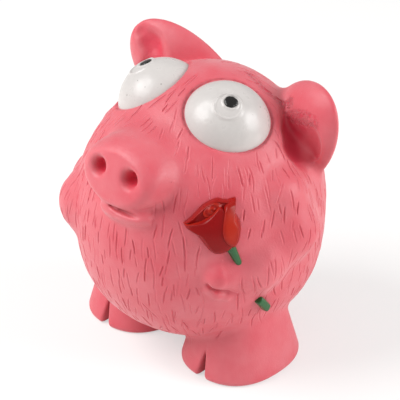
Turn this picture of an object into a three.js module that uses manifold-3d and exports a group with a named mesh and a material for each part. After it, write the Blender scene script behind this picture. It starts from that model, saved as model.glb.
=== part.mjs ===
// A hollow latex toy pig that holds a rose, with a fibre filling and a plug-in squeaker.
// Millimetres, +Z up, the face looks along -Y. Left and right are the pig's own, so left is +X.

import * as THREE from 'three';
import { mergeVertices } from 'three/addons/utils/BufferGeometryUtils.js';
import Module from 'manifold-3d';

const wasm = await Module();
wasm.setup();

// Clearance between touching pieces
const GAP = 0.3;

// Body: an egg on its blunt end, fuller below its waist, narrower and set back towards the crown
const BODY_RADIUS = 38.5;
const BODY_HALF_HEIGHT = 42.4;
const BODY_CLEARANCE = 3.3;
const CROWN_OFFSET = 4.4;
const CROWN_NARROWING = 0.095;
const BELLY_FULLNESS = 0.086;
const SKIN_WALL = 2.5;

// Snout: a rounded stub on the front of the face, with two nostrils, a mouth and a lower lip
const SNOUT_LATITUDE = 30.8;
const SNOUT_HALF_WIDTH = 14.8;
const SNOUT_HALF_HEIGHT = 10.8;
const SNOUT_TAPER = 1.2;
const SNOUT_REACH = 6.7;
const SNOUT_TILT = 16;
const SNOUT_EDGE_RADIUS = 4;
const NOSTRIL_SPACING = 14;
const NOSTRIL_RISE = 1;
const NOSTRIL_RADIUS = 2.5;
const NOSTRIL_STRETCH = 1.15;
const NOSTRIL_DEPTH = 3.5;
const LIP_HALF_WIDTH = 9.5;
const LIP_HALF_HEIGHT = 3.6;
const LIP_RELIEF = 3.4;
const LIP_OVERLAP = 2.8;
const MOUTH_HALF_WIDTH = 6;
const MOUTH_OPENING = 0.8;
const MOUTH_DEPTH = 3;

// Ears: half ellipsoids with a flat back, leaning outwards, with a cup let into the front
const EAR_AZIMUTH = 129.4;
const EAR_LATITUDE = 35.2;
const EAR_STANDOFF = 1.6;
const EAR_HALF_LENGTH = 24.5;
const EAR_HALF_WIDTH = 14.6;
const EAR_HALF_THICKNESS = 9;
const EAR_BACK_INSET = 0.3;
const EAR_TILT = 47.5;
const EAR_TURN = 21.4;
const EAR_CUP_HALF_LENGTH = 12.5;
const EAR_CUP_HALF_WIDTH = 10;
const EAR_CUP_OFFSET = 3;
const EAR_CUP_RISE = 6;

// Eyes: white balls sunk in the head, with a raised iris ring and a black pupil to one side in it
const EYE_AZIMUTH = 62.5;
const EYE_LATITUDE = 60.2;
const EYE_RADIUS = 13.7;
const EYE_RELIEF = 5.1;
const LEFT_GAZE = [50, 53.5];
const RIGHT_GAZE = [-60, 60];
const IRIS_RADIUS = 4.1;
const IRIS_RING_RADIUS = 0.45;
const PUPIL_RADIUS = 1.9;
const PUPIL_OFFSET = 0.9;
const PUPIL_RISE = 1.2;
const PUPIL_DEPTH = 1.6;
const PUPIL_RELIEF = 0.3;
const PUPIL_CHAMFER = 0.7;

// Arms: low relief from shoulder to elbow, wrist and hand, each joint by azimuth and latitude
const ARM_LEFT_ANGLES = [[88, 20.5], [93, 3.3], [71, -8], [50, -6]];
const ARM_RIGHT_ANGLES = [[-88, 20.5], [-93, 6.3], [-71, 0], [-45, 0]];
const SHOULDER_RADIUS = 9;
const SHOULDER_RELIEF = 3.2;
const ELBOW_RADIUS = 9;
const ELBOW_RELIEF = 3.3;
const WRIST_RADIUS = 8;
const WRIST_RELIEF = 3.5;
const LEFT_HAND_RADIUS = 6.5;
const RIGHT_HAND_RADIUS = 10.8;
const HAND_RELIEF = 4.8;

// Feet: cloven blocks with a flat sole, between a gap at the middle and the body's flank
const FEET_GAP = 10;
const FOOT_INSET = 1.9;
const FOOT_ADVANCE = 3.9;
const FOOT_HALF_LENGTH = 18;
const FOOT_TOP = 29;
const FOOT_SOLE_EDGE = 2;
const FOOT_SQUARENESS = 2.4;
const ANKLE_NARROWING = 0.28;
const ANKLE_HEIGHT = 20;
const CLEFT_HEIGHT = 9;
const CLEFT_WIDTH = 3;
const CLEFT_DEPTH = 6;

// Tail: one low curl at the back
const TAIL_LATITUDE = -6;
const TAIL_CURL_RADIUS = 3.4;
const TAIL_TUBE_RADIUS = 1.5;
const TAIL_STANDOFF = 2.4;
const TAIL_RISE = 1.65;
const TAIL_ROOT_SHARE = 0.2;
const TAIL_TURN = 306;

// Rose: outline points in the plane of the flower, to the right and up from its middle
const ROSE_AZIMUTH = 48.3;
const ROSE_LATITUDE = 15;
const ROSE_RELIEF = 5.2;
const ROSE_SPREAD = 9.6;
const BACK_PETAL_RELIEF = 2.2;
const PETAL_SEAM = 0.4;
const PETAL_HOLLOW_INSET = 1;
const LEFT_TIP = [-8.5, 1.7];
const CROWN_EDGE = [[-6.5, 3.1], [-2.9, 6.5], [0.8, 8.2], [3.2, 7.9]];
const RIGHT_TIP = [6.8, 8.3];
const RIGHT_EDGE = [[6, 4.6], [7.7, -0.8], [7.1, -4.2], [6.1, -6]];
const BASE_EDGE = [[3.6, -7.2], [0.9, -7.8], [-1.4, -6.6], [-4.8, -2.1], [-6.2, -1], [-7.8, 0.2]];
const ROLLED_RIDGE = [[-3.5, 2.2], [-1.2, 3], [0.7, 4.6], [2.2, 6.2]];
const FOLD_TOP = [3.2, 7.3];
const SIDE_FOLD = [[2.6, 2.9], [2, 0.2], [4.2, -3.5]];
const BUD_PLACE = [-1.7, 5];
const BUD_RADIUS = 1.3;
const BUD_RELIEF = 1.6;

// Stem: a round stalk half sunk in the skin, above and below the hand
const STEM_RADIUS = 1.4;
const STEM_RELIEF = 1.6;
const STEM_UPPER_ANGLES = [[55.6, 7.6], [60, -2]];
const STEM_LOWER_ANGLES = [[71.7, -22.7], [77.5, -32]];

// Squeaker: a flanged barrel pressed into the back of the skin, low down
const SQUEAKER_LATITUDE = -36;
const FLANGE_RADIUS = 9;
const FLANGE_THICKNESS = 1.5;
const FLANGE_SINK = 1.1;
const BARREL_RADIUS = 6;
const BARREL_OVERHANG = 1;
const BARREL_WALL = 1.5;
const OUTLET_RADIUS = 3.5;
const BORE_LEDGE = 1;
const CUT_MARGIN = 1;
const GRILLE_RADIUS = 5.2;
const GRILLE_THICKNESS = 0.8;
const SOUND_HOLE_RADIUS = 0.7;
const SOUND_HOLE_RING_RADIUS = 2.3;
const SOUND_HOLE_COUNT = 6;
const SOCKET_WALL = 2.6;
const BED_DISC_THICKNESS = 2.5;
const BED_LENGTH = 10;
const BED_RADIUS = 3;
const BED_FLAT = 0.2;
const BED_CHANNEL_WIDTH = 2;
const BED_CHANNEL_DEPTH = 2;
const REED_WIDTH = 3.4;
const REED_THICKNESS = 0.35;
const REED_REST_GAP = 0.25;
const REED_SWING = 6;
const WEDGE_THICKNESS = 1.4;
const WEDGE_RELIEF_ANGLE = 1.5;

// Facets round and along the rounded forms
const BODY_FACETS = [40, 26];
const LINING_FACETS = [26, 16];
const EAR_FACETS = [22, 14];
const EYE_FACETS = [24, 14];
const SMALL_FACETS = [14, 7];
const ROUND_SEGMENTS = 28;
const PUPIL_SEGMENTS = 18;
const LIMB_SEGMENTS = 14;
const STEM_SEGMENTS = 10;
const BUD_SEGMENTS = 12;
const HOLE_SEGMENTS = 10;
const EDGE_STEPS = 4;
const TAIL_STEPS = 18;
const CAP_STEPS = 3;

// Derived places
const BODY_CENTRE_HEIGHT = BODY_CLEARANCE + BODY_HALF_HEIGHT;
const FOOT_HALF_WIDTH = (BODY_RADIUS - FOOT_INSET - FEET_GAP / 2) / 2;
const FOOT_SPACING = FEET_GAP + FOOT_HALF_WIDTH * 2;
const FLANGE_OUTER_FACE = -FLANGE_SINK;
const FLANGE_INNER_FACE = FLANGE_OUTER_FACE - FLANGE_THICKNESS;
const SOCKET_FLOOR = FLANGE_INNER_FACE - GAP;
const BORE_RADIUS = BARREL_RADIUS - BARREL_WALL;
const GRILLE_SEAT = FLANGE_OUTER_FACE - GRILLE_THICKNESS - GAP;
const BED_DISC_FACE = GRILLE_SEAT - BORE_LEDGE;
const BED_DISC_BACK = BED_DISC_FACE - BED_DISC_THICKNESS;
const BED_END = BED_DISC_BACK - BED_LENGTH;
const BARREL_END = BED_END - BARREL_OVERHANG;
const REED_ROOT = BED_DISC_FACE - GAP;
const REED_TIP = BED_END + GAP;

const skinColour = 0xe4707b;
const materials = {
  skin: new THREE.MeshStandardMaterial({ color: skinColour, roughness: 0.55, metalness: 0 }),
  eyeWhite: new THREE.MeshStandardMaterial({ color: 0xe9e6e2, roughness: 0.3, metalness: 0 }),
  pupil: new THREE.MeshStandardMaterial({ color: 0x1b1816, roughness: 0.25, metalness: 0 }),
  rose: new THREE.MeshStandardMaterial({ color: 0x9c1a1b, roughness: 0.3, metalness: 0 }),
  sidePetal: new THREE.MeshStandardMaterial({ color: 0xb8331f, roughness: 0.3, metalness: 0 }),
  stem: new THREE.MeshStandardMaterial({ color: 0x2f6b3c, roughness: 0.35, metalness: 0 }),
  filling: new THREE.MeshStandardMaterial({ color: 0xf0eee8, roughness: 0.95, metalness: 0 }),
  plastic: new THREE.MeshStandardMaterial({ color: 0xe8e6dc, roughness: 0.4, metalness: 0 }),
  reed: new THREE.MeshStandardMaterial({ color: 0xd9dde0, roughness: 0.3, metalness: 0 }),
};

const radians = (degrees) => THREE.MathUtils.degToRad(degrees);

// Closed mesh turned into a solid, without the collapsed triangles at its poles
function solidOf(geometry) {
  geometry.deleteAttribute('normal');
  geometry.deleteAttribute('uv');
  const merged = mergeVertices(geometry, 1e-4);
  const triVerts = [];
  const index = merged.index.array;
  for (let i = 0; i < index.length; i += 3) {
    const [a, b, c] = [index[i], index[i + 1], index[i + 2]];
    if (a !== b && b !== c && c !== a) {
      triVerts.push(a, b, c);
    }
  }
  const vertProperties = new Float32Array(merged.attributes.position.array);
  return new wasm.Manifold(
    new wasm.Mesh({ numProp: 3, vertProperties, triVerts: new Uint32Array(triVerts) }),
  );
}

function meshOf(name, solid, material) {
  const { vertProperties, triVerts } = solid.getMesh();
  const geometry = new THREE.BufferGeometry();
  geometry.setAttribute('position', new THREE.BufferAttribute(new Float32Array(vertProperties), 3));
  geometry.setIndex(new THREE.BufferAttribute(new Uint32Array(triVerts), 1));
  geometry.computeVertexNormals();
  const mesh = new THREE.Mesh(geometry, material);
  mesh.name = name;
  return mesh;
}

// Frame with its Z along an axis, its X level and square to it
function frameAt(origin, axis) {
  const z = axis.clone().normalize();
  const x = new THREE.Vector3(0, 0, 1).cross(z).normalize();
  const y = z.clone().cross(x);
  return new THREE.Matrix4().makeBasis(x, y, z).setPosition(origin);
}

function direction(azimuth, elevation) {
  const a = radians(azimuth);
  const e = radians(elevation);
  return new THREE.Vector3(
    Math.cos(e) * Math.sin(a), -Math.cos(e) * Math.cos(a), Math.sin(e));
}

// Body surface, or the surface a set distance outside it, from a unit sphere's point
function fromUnitSphere(point, outward) {
  const crown = Math.max(0, point.z);
  const depth = Math.max(0, -point.z) ** 2;
  const share = 1 - CROWN_NARROWING * crown ** 2 + BELLY_FULLNESS * 4 * depth * (1 - depth);
  const radius = (BODY_RADIUS + outward) * share;
  return new THREE.Vector3(
    point.x * radius,
    point.y * radius + CROWN_OFFSET * crown ** 1.5,
    BODY_CENTRE_HEIGHT + point.z * (BODY_HALF_HEIGHT + outward),
  );
}

// Latitude where the body surface has a height
function latitudeAt(height) {
  return THREE.MathUtils.radToDeg(Math.asin((height - BODY_CENTRE_HEIGHT) / BODY_HALF_HEIGHT));
}

// Azimuth counts from the face towards the left side, latitude up from the waist
function bodyPoint(azimuth, latitude, outward = 0) {
  return fromUnitSphere(direction(azimuth, latitude), outward);
}

function bodyNormal(azimuth, latitude) {
  const step = 0.5;
  const across = bodyPoint(azimuth + step, latitude).sub(bodyPoint(azimuth - step, latitude));
  const upward = bodyPoint(azimuth, latitude + step).sub(bodyPoint(azimuth, latitude - step));
  return across.cross(upward).normalize();
}

function moveVertices(geometry, move) {
  const position = geometry.attributes.position;
  const point = new THREE.Vector3();
  for (let i = 0; i < position.count; i += 1) {
    point.fromBufferAttribute(position, i);
    const moved = move(point);
    position.setXYZ(i, moved.x, moved.y, moved.z);
  }
  return geometry;
}

function unitSphere([around, down]) {
  const geometry = new THREE.SphereGeometry(1, around, down);
  geometry.rotateX(Math.PI / 2);
  return geometry;
}

function bodySolid(outward, facets = BODY_FACETS) {
  return solidOf(moveVertices(unitSphere(facets), (point) => fromUnitSphere(point, outward)));
}

function ellipsoid(radii, matrix, facets = SMALL_FACETS) {
  const geometry = unitSphere(facets);
  geometry.scale(...radii);
  geometry.applyMatrix4(matrix);
  return solidOf(geometry);
}

// Profile points are radius and height, from the axis at the bottom to the axis at the top
function lathe(profile, matrix = new THREE.Matrix4(), segments = ROUND_SEGMENTS) {
  const points = profile.map(([radius, height]) => new THREE.Vector2(radius, height));
  const geometry = new THREE.LatheGeometry(points, segments);
  geometry.rotateX(Math.PI / 2);
  geometry.applyMatrix4(matrix);
  return solidOf(geometry);
}

function disc(radius, low, high, matrix, segments = ROUND_SEGMENTS) {
  return lathe([[0, low], [radius, low], [radius, high], [0, high]], matrix, segments);
}

function block(size, centre, matrix = new THREE.Matrix4()) {
  const geometry = new THREE.BoxGeometry(...size);
  geometry.translate(...centre);
  geometry.applyMatrix4(matrix);
  return solidOf(geometry);
}

function prism(outline, low, high, matrix) {
  const shape = new THREE.Shape(outline.map(([x, y]) => new THREE.Vector2(x, y)));
  const geometry = new THREE.ExtrudeGeometry(shape, { depth: high - low, bevelEnabled: false });
  geometry.translate(0, 0, low);
  geometry.applyMatrix4(matrix);
  return solidOf(geometry);
}

function roundCone(start, end, startRadius, endRadius, segments = LIMB_SEGMENTS) {
  const length = start.distanceTo(end);
  const profile = [];
  for (let i = 0; i <= CAP_STEPS; i += 1) {
    const angle = (-Math.PI / 2) * (1 - i / CAP_STEPS);
    profile.push([startRadius * Math.cos(angle), startRadius * Math.sin(angle)]);
  }
  for (let i = 0; i <= CAP_STEPS; i += 1) {
    const angle = (Math.PI / 2) * (i / CAP_STEPS);
    profile.push([endRadius * Math.cos(angle), length + endRadius * Math.sin(angle)]);
  }
  profile[0][0] = 0;
  profile[profile.length - 1][0] = 0;
  return lathe(profile, frameAt(start, end.clone().sub(start)), segments);
}

// Snout frame: origin on the face, Z out of the snout
function snoutFrame() {
  return frameAt(bodyPoint(0, SNOUT_LATITUDE), direction(0, SNOUT_TILT));
}

function makeSnout() {
  const frame = snoutFrame();
  const front = SNOUT_REACH;
  const root = -SNOUT_HALF_HEIGHT;
  const frontRadius = SNOUT_HALF_WIDTH - SNOUT_TAPER;
  const profile = [[0, root], [SNOUT_HALF_WIDTH, root], [SNOUT_HALF_WIDTH, -SNOUT_EDGE_RADIUS]];
  for (let i = 0; i <= EDGE_STEPS; i += 1) {
    const angle = (Math.PI / 2) * (i / EDGE_STEPS);
    profile.push([
      frontRadius - SNOUT_EDGE_RADIUS * (1 - Math.cos(angle)),
      front - SNOUT_EDGE_RADIUS * (1 - Math.sin(angle)),
    ]);
  }
  profile.push([0, front]);
  const squash = new THREE.Matrix4().makeScale(1, SNOUT_HALF_HEIGHT / SNOUT_HALF_WIDTH, 1);
  let snout = lathe(profile, frame.clone().multiply(squash));
  const snoutBottom = bodyPoint(0, SNOUT_LATITUDE).z - SNOUT_HALF_HEIGHT * Math.cos(radians(SNOUT_TILT));
  const lipLatitude = latitudeAt(snoutBottom + LIP_OVERLAP - LIP_HALF_HEIGHT);
  const lipPlace = frameAt(bodyPoint(0, lipLatitude), bodyNormal(0, lipLatitude));
  snout = snout.add(ellipsoid([LIP_HALF_WIDTH, LIP_HALF_HEIGHT, LIP_RELIEF], lipPlace));
  const mouthPlace = frame.clone().multiply(
    new THREE.Matrix4().makeTranslation(0, -SNOUT_HALF_HEIGHT - MOUTH_OPENING / 2, front));
  snout = snout.subtract(ellipsoid([MOUTH_HALF_WIDTH, MOUTH_OPENING, MOUTH_DEPTH], mouthPlace));
  for (const side of [-1, 1]) {
    const place = frame.clone().multiply(
      new THREE.Matrix4().makeTranslation(side * NOSTRIL_SPACING / 2, NOSTRIL_RISE, front));
    const nostrilHalfHeight = NOSTRIL_RADIUS * NOSTRIL_STRETCH;
    snout = snout.subtract(ellipsoid([NOSTRIL_RADIUS, nostrilHalfHeight, NOSTRIL_DEPTH], place));
  }
  return snout.subtract(bodySolid(GAP));
}

function earFrame(side) {
  const centre = bodyPoint(side * EAR_AZIMUTH, EAR_LATITUDE, EAR_STANDOFF);
  const lean = new THREE.Matrix4().makeRotationY(side * radians(EAR_TILT));
  return new THREE.Matrix4().makeRotationZ(-side * radians(EAR_TURN)).multiply(lean).setPosition(centre);
}

function earBlank(side, grow) {
  const radii = [EAR_HALF_WIDTH + grow, EAR_HALF_THICKNESS + grow, EAR_HALF_LENGTH + grow];
  const size = EAR_HALF_LENGTH * 3;
  const behind = block([size, size, size], [0, size / 2 - EAR_BACK_INSET + grow, 0], earFrame(side));
  return ellipsoid(radii, earFrame(side), EAR_FACETS).subtract(behind);
}

// Eye frame: origin in the middle of the ball, Z through the middle of the iris
function eyeFrame(side) {
  const centre = bodyPoint(side * EYE_AZIMUTH, EYE_LATITUDE, EYE_RELIEF - EYE_RADIUS);
  return frameAt(centre, direction(...(side > 0 ? LEFT_GAZE : RIGHT_GAZE)));
}

function pupilFrame(side) {
  return eyeFrame(side).multiply(new THREE.Matrix4().makeTranslation(side * PUPIL_OFFSET, PUPIL_RISE, 0));
}

function eyeBlank(side, grow) {
  const radius = EYE_RADIUS + grow;
  return ellipsoid([radius, radius, radius], eyeFrame(side), EYE_FACETS);
}

function makeEar(side) {
  const cupDepth = EAR_HALF_THICKNESS - EAR_BACK_INSET - SKIN_WALL;
  const cupPlace = earFrame(side).multiply(
    new THREE.Matrix4().makeTranslation(side * EAR_CUP_OFFSET, -EAR_HALF_THICKNESS, EAR_CUP_RISE));
  return earBlank(side, 0)
    .subtract(ellipsoid([EAR_CUP_HALF_WIDTH, cupDepth, EAR_CUP_HALF_LENGTH], cupPlace, EAR_FACETS))
    .subtract(bodySolid(GAP))
    .subtract(eyeBlank(side, GAP));
}

function makeEye(side) {
  const ring = new THREE.TorusGeometry(IRIS_RADIUS, IRIS_RING_RADIUS, 6, ROUND_SEGMENTS);
  ring.translate(0, 0, Math.sqrt(EYE_RADIUS ** 2 - IRIS_RADIUS ** 2));
  ring.applyMatrix4(eyeFrame(side));
  const floor = EYE_RADIUS - PUPIL_DEPTH;
  return eyeBlank(side, 0)
    .add(solidOf(ring))
    .subtract(disc(PUPIL_RADIUS + GAP, floor, EYE_RADIUS * 2, pupilFrame(side), PUPIL_SEGMENTS))
    .subtract(bodySolid(GAP));
}

function makePupil(side) {
  const low = EYE_RADIUS - PUPIL_DEPTH + GAP;
  const high = EYE_RADIUS + PUPIL_RELIEF;
  const profile = [
    [0, low], [PUPIL_RADIUS, low], [PUPIL_RADIUS, EYE_RADIUS],
    [PUPIL_RADIUS - PUPIL_CHAMFER, high], [0, high]];
  return lathe(profile, pupilFrame(side), PUPIL_SEGMENTS);
}

function armSolid(side, grow) {
  const angles = side > 0 ? ARM_LEFT_ANGLES : ARM_RIGHT_ANGLES;
  const handRadius = side > 0 ? LEFT_HAND_RADIUS : RIGHT_HAND_RADIUS;
  const radii = [SHOULDER_RADIUS, ELBOW_RADIUS, WRIST_RADIUS, handRadius];
  const reliefs = [SHOULDER_RELIEF, ELBOW_RELIEF, WRIST_RELIEF, HAND_RELIEF];
  const points = angles.map(
    ([azimuth, latitude], i) => bodyPoint(azimuth, latitude, reliefs[i] - radii[i]));
  let arm = null;
  for (let i = 0; i + 1 < points.length; i += 1) {
    const link = roundCone(points[i], points[i + 1], radii[i] + grow, radii[i + 1] + grow);
    arm = arm === null ? link : arm.add(link);
  }
  return arm;
}

// Foot as stacked rounded rectangles, narrower at the ankle
function footBlank(side, grow) {
  const edge = FOOT_SOLE_EDGE;
  const ankle = 1 - ANKLE_NARROWING;
  const edgeShare = edge / FOOT_HALF_WIDTH;
  const bevel = 1 - Math.SQRT1_2;
  const profile = [
    [0, 0], [1 - edgeShare, 0], [1 - edgeShare * bevel, edge * bevel], [1, edge], [1, edge * 2],
    [(1 + ankle) / 2, (ANKLE_HEIGHT + edge * 2) / 2], [ankle, ANKLE_HEIGHT],
    [ankle * ankle, FOOT_TOP], [0, FOOT_TOP]];
  const points = profile.map(([radius, height]) => new THREE.Vector2(radius, height));
  const geometry = new THREE.LatheGeometry(points, ROUND_SEGMENTS);
  geometry.rotateX(Math.PI / 2);
  moveVertices(geometry, (point) => {
    const angle = Math.atan2(point.y, point.x);
    const [along, across] = [Math.abs(Math.sin(angle)), Math.abs(Math.cos(angle))];
    const round = across ** FOOT_SQUARENESS + along ** FOOT_SQUARENESS;
    const stretch = round ** (-1 / FOOT_SQUARENESS);
    return new THREE.Vector3(
      side * FOOT_SPACING / 2 + point.x * stretch * (FOOT_HALF_WIDTH + grow),
      point.y * stretch * (FOOT_HALF_LENGTH + grow) - FOOT_ADVANCE,
      point.z * (1 + grow / FOOT_TOP),
    );
  });
  return solidOf(geometry);
}

function makeFoot(side) {
  const cleftOutline = [
    [-CLEFT_WIDTH / 2, -CUT_MARGIN], [CLEFT_WIDTH / 2, -CUT_MARGIN], [0, CLEFT_HEIGHT]];
  const toe = -FOOT_ADVANCE - FOOT_HALF_LENGTH;
  const upright = new THREE.Matrix4().makeRotationX(Math.PI / 2)
    .setPosition(side * FOOT_SPACING / 2, toe, 0);
  const cleft = prism(cleftOutline, -CLEFT_DEPTH, CLEFT_DEPTH, upright);
  return footBlank(side, 0).subtract(cleft).subtract(bodySolid(GAP));
}

// Tail path: straight out of the body, then once round beside it
class TailCurve extends THREE.Curve {
  getPoint(share, target = new THREE.Vector3()) {
    const root = bodyPoint(180, TAIL_LATITUDE);
    if (share < TAIL_ROOT_SHARE) {
      const along = (share / TAIL_ROOT_SHARE - 1) * (TAIL_STANDOFF + TAIL_TUBE_RADIUS * 2);
      return target.set(root.x, root.y + TAIL_STANDOFF + along, root.z);
    }
    const angle = ((share - TAIL_ROOT_SHARE) / (1 - TAIL_ROOT_SHARE)) * radians(TAIL_TURN);
    return target.set(
      root.x + TAIL_CURL_RADIUS * (1 - Math.cos(angle)),
      root.y + TAIL_STANDOFF + TAIL_RISE * Math.sin(angle / 2),
      root.z - TAIL_CURL_RADIUS * Math.sin(angle),
    );
  }
}

function makeTail() {
  const section = new THREE.Shape();
  section.absarc(0, 0, TAIL_TUBE_RADIUS, 0, Math.PI * 2);
  const geometry = new THREE.ExtrudeGeometry(section, {
    extrudePath: new TailCurve(), steps: TAIL_STEPS, curveSegments: SMALL_FACETS[1], bevelEnabled: false,
  });
  return solidOf(geometry).subtract(bodySolid(GAP));
}

function roseFrame() {
  const centre = bodyPoint(ROSE_AZIMUTH, ROSE_LATITUDE);
  return frameAt(centre, bodyNormal(ROSE_AZIMUTH, ROSE_LATITUDE));
}

function shifted(points, right, up) {
  return points.map(([x, y]) => [x + right, y + up]);
}

function roseDome(drop) {
  return ellipsoid([ROSE_SPREAD, ROSE_SPREAD, ROSE_RELIEF - drop], roseFrame(), EYE_FACETS);
}

// A petal is its outline, cut clear of the body and the arm that lies below it
function petal(outline, limit, high) {
  let solid = prism(outline, -ROSE_RELIEF, high, roseFrame());
  if (limit !== null) {
    solid = solid.intersect(limit);
  }
  return solid.subtract(bodySolid(GAP)).subtract(armSolid(1, GAP));
}

function makeFrontPetal() {
  const outline = [
    LEFT_TIP, ...BASE_EDGE.slice().reverse(), ...SIDE_FOLD.slice().reverse(),
    ...ROLLED_RIDGE.slice().reverse()];
  return petal(outline, roseDome(0), ROSE_RELIEF);
}

function makeSidePetal() {
  const fold = shifted(SIDE_FOLD, PETAL_SEAM, 0);
  const top = shifted([FOLD_TOP], PETAL_SEAM, 0);
  const outline = [RIGHT_TIP, ...top, ...fold, ...RIGHT_EDGE.slice().reverse()];
  return petal(outline, roseDome(PETAL_SEAM), ROSE_RELIEF);
}

function makeBackPetal() {
  const ridge = shifted(ROLLED_RIDGE, -PETAL_SEAM / 2, PETAL_SEAM);
  const start = shifted([LEFT_TIP], PETAL_HOLLOW_INSET, PETAL_HOLLOW_INSET);
  const outline = [...start, ...ridge, ...CROWN_EDGE.slice().reverse()];
  return petal(outline, null, BACK_PETAL_RELIEF);
}

function makeBud() {
  const base = BACK_PETAL_RELIEF + GAP;
  const place = roseFrame().multiply(new THREE.Matrix4().makeTranslation(...BUD_PLACE, 0));
  const shoulder = BUD_RADIUS * Math.SQRT1_2;
  const profile = [
    [0, base], [BUD_RADIUS, base], [BUD_RADIUS, base + BUD_RELIEF / 2],
    [shoulder, base + BUD_RELIEF], [0, base + BUD_RELIEF]];
  return lathe(profile, place, BUD_SEGMENTS);
}

function makeStem(angles) {
  const outward = STEM_RELIEF - STEM_RADIUS;
  const [start, end] = angles.map(([azimuth, latitude]) => bodyPoint(azimuth, latitude, outward));
  const rosePlate = prism(
    [...shifted(BASE_EDGE, 0, -GAP), LEFT_TIP, ...CROWN_EDGE, RIGHT_TIP,
      ...shifted(RIGHT_EDGE, GAP, -GAP)].reverse(),
    -ROSE_RELIEF, ROSE_RELIEF * 2, roseFrame());
  return roundCone(start, end, STEM_RADIUS, STEM_RADIUS, STEM_SEGMENTS)
    .subtract(bodySolid(GAP))
    .subtract(armSolid(1, GAP))
    .subtract(footBlank(1, GAP))
    .subtract(rosePlate);
}

// Squeaker frame: origin on the skin, Z out of the body
function squeakerFrame() {
  const centre = bodyPoint(180, SQUEAKER_LATITUDE);
  return frameAt(centre, bodyNormal(180, SQUEAKER_LATITUDE));
}

function makeSkin() {
  const frame = squeakerFrame();
  const beyond = BODY_RADIUS;
  const socketDepth = SOCKET_FLOOR - SOCKET_WALL;
  const socketBoss = disc(FLANGE_RADIUS + GAP + SOCKET_WALL, socketDepth, beyond, frame);
  const cavity = bodySolid(-SKIN_WALL, LINING_FACETS).subtract(socketBoss);
  const pocket = disc(FLANGE_RADIUS + GAP, SOCKET_FLOOR, beyond, frame);
  const bore = disc(BARREL_RADIUS + GAP, socketDepth * 2, 0, frame);
  return bodySolid(0).subtract(cavity).subtract(pocket).subtract(bore);
}

function makeFilling() {
  const frame = squeakerFrame();
  const depth = SOCKET_FLOOR - SOCKET_WALL - GAP;
  const bossRoom = disc(FLANGE_RADIUS + SOCKET_WALL + GAP * 2, depth, BODY_RADIUS, frame);
  const barrelRoom = disc(BARREL_RADIUS + GAP, BARREL_END - GAP * 2, 0, frame);
  return bodySolid(-SKIN_WALL - GAP, LINING_FACETS).subtract(bossRoom).subtract(barrelRoom);
}

// The squeaker's own pieces are built with Z out of the body, then placed as one group
function makeHousing() {
  const flange = disc(FLANGE_RADIUS, FLANGE_INNER_FACE, FLANGE_OUTER_FACE);
  const barrel = disc(BARREL_RADIUS, BARREL_END, FLANGE_OUTER_FACE - FLANGE_THICKNESS / 2);
  const seat = disc(GRILLE_RADIUS + GAP, GRILLE_SEAT, CUT_MARGIN);
  const outlet = disc(OUTLET_RADIUS, BARREL_END, CUT_MARGIN);
  const bore = disc(BORE_RADIUS, BARREL_END - CUT_MARGIN, BED_DISC_FACE + GAP);
  return flange.add(barrel).subtract(seat).subtract(outlet).subtract(bore);
}

function makeGrille() {
  let grille = disc(GRILLE_RADIUS, FLANGE_OUTER_FACE - GRILLE_THICKNESS, FLANGE_OUTER_FACE);
  const holes = [[0, 0]];
  for (let i = 0; i < SOUND_HOLE_COUNT; i += 1) {
    const angle = (i / SOUND_HOLE_COUNT) * Math.PI * 2;
    holes.push([SOUND_HOLE_RING_RADIUS * Math.cos(angle), SOUND_HOLE_RING_RADIUS * Math.sin(angle)]);
  }
  for (const [x, y] of holes) {
    const place = new THREE.Matrix4().makeTranslation(x, y, 0);
    grille = grille.subtract(disc(SOUND_HOLE_RADIUS, -FLANGE_RADIUS, FLANGE_RADIUS, place, HOLE_SEGMENTS));
  }
  return grille;
}

// Disc that plugs the bore, with a half round trough that the reed lies over
function makeReedBed() {
  const plug = disc(BORE_RADIUS - GAP, BED_DISC_BACK, BED_DISC_FACE);
  const length = BED_LENGTH + BED_DISC_THICKNESS / 2;
  const low = BED_DISC_BACK - BED_LENGTH;
  const trough = disc(BED_RADIUS, low, low + length);
  const above = block(
    [BED_RADIUS * 3, BED_RADIUS * 2, BED_LENGTH * 2],
    [0, BED_FLAT + BED_RADIUS, BED_DISC_BACK - BED_LENGTH]);
  const channelLength = BED_LENGTH + BED_DISC_THICKNESS;
  const channel = block(
    [BED_CHANNEL_WIDTH, BED_CHANNEL_DEPTH * 2, channelLength],
    [0, BED_FLAT, low + channelLength / 2 + CUT_MARGIN]);
  const slotHeight = REED_REST_GAP + REED_THICKNESS + WEDGE_THICKNESS + GAP * 2;
  const slot = block(
    [REED_WIDTH + GAP * 2, slotHeight, BED_DISC_THICKNESS * 3],
    [0, BED_FLAT + slotHeight / 2, BED_DISC_BACK]);
  return plug.add(trough).subtract(above.add(slot)).subtract(channel);
}

function makeReed() {
  const length = REED_ROOT - REED_TIP;
  return block(
    [REED_WIDTH, REED_THICKNESS, length],
    [0, BED_FLAT + REED_REST_GAP + REED_THICKNESS / 2, REED_TIP + length / 2]);
}

// The wedge's lower face slopes a little more than the reed can swing
function makeWedge() {
  const low = BED_FLAT + REED_REST_GAP + REED_THICKNESS + GAP;
  const depth = REED_ROOT - BED_DISC_BACK;
  const rise = depth * Math.tan(radians(REED_SWING + WEDGE_RELIEF_ANGLE));
  const high = low + WEDGE_THICKNESS;
  const outline = [[low, 0], [high, 0], [high, depth], [low + rise, depth]];
  const sideways = new THREE.Matrix4().makeBasis(
    new THREE.Vector3(0, 1, 0), new THREE.Vector3(0, 0, -1), new THREE.Vector3(-1, 0, 0));
  sideways.setPosition(0, 0, REED_ROOT);
  return prism(outline, -REED_WIDTH / 2, REED_WIDTH / 2, sideways);
}

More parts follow.
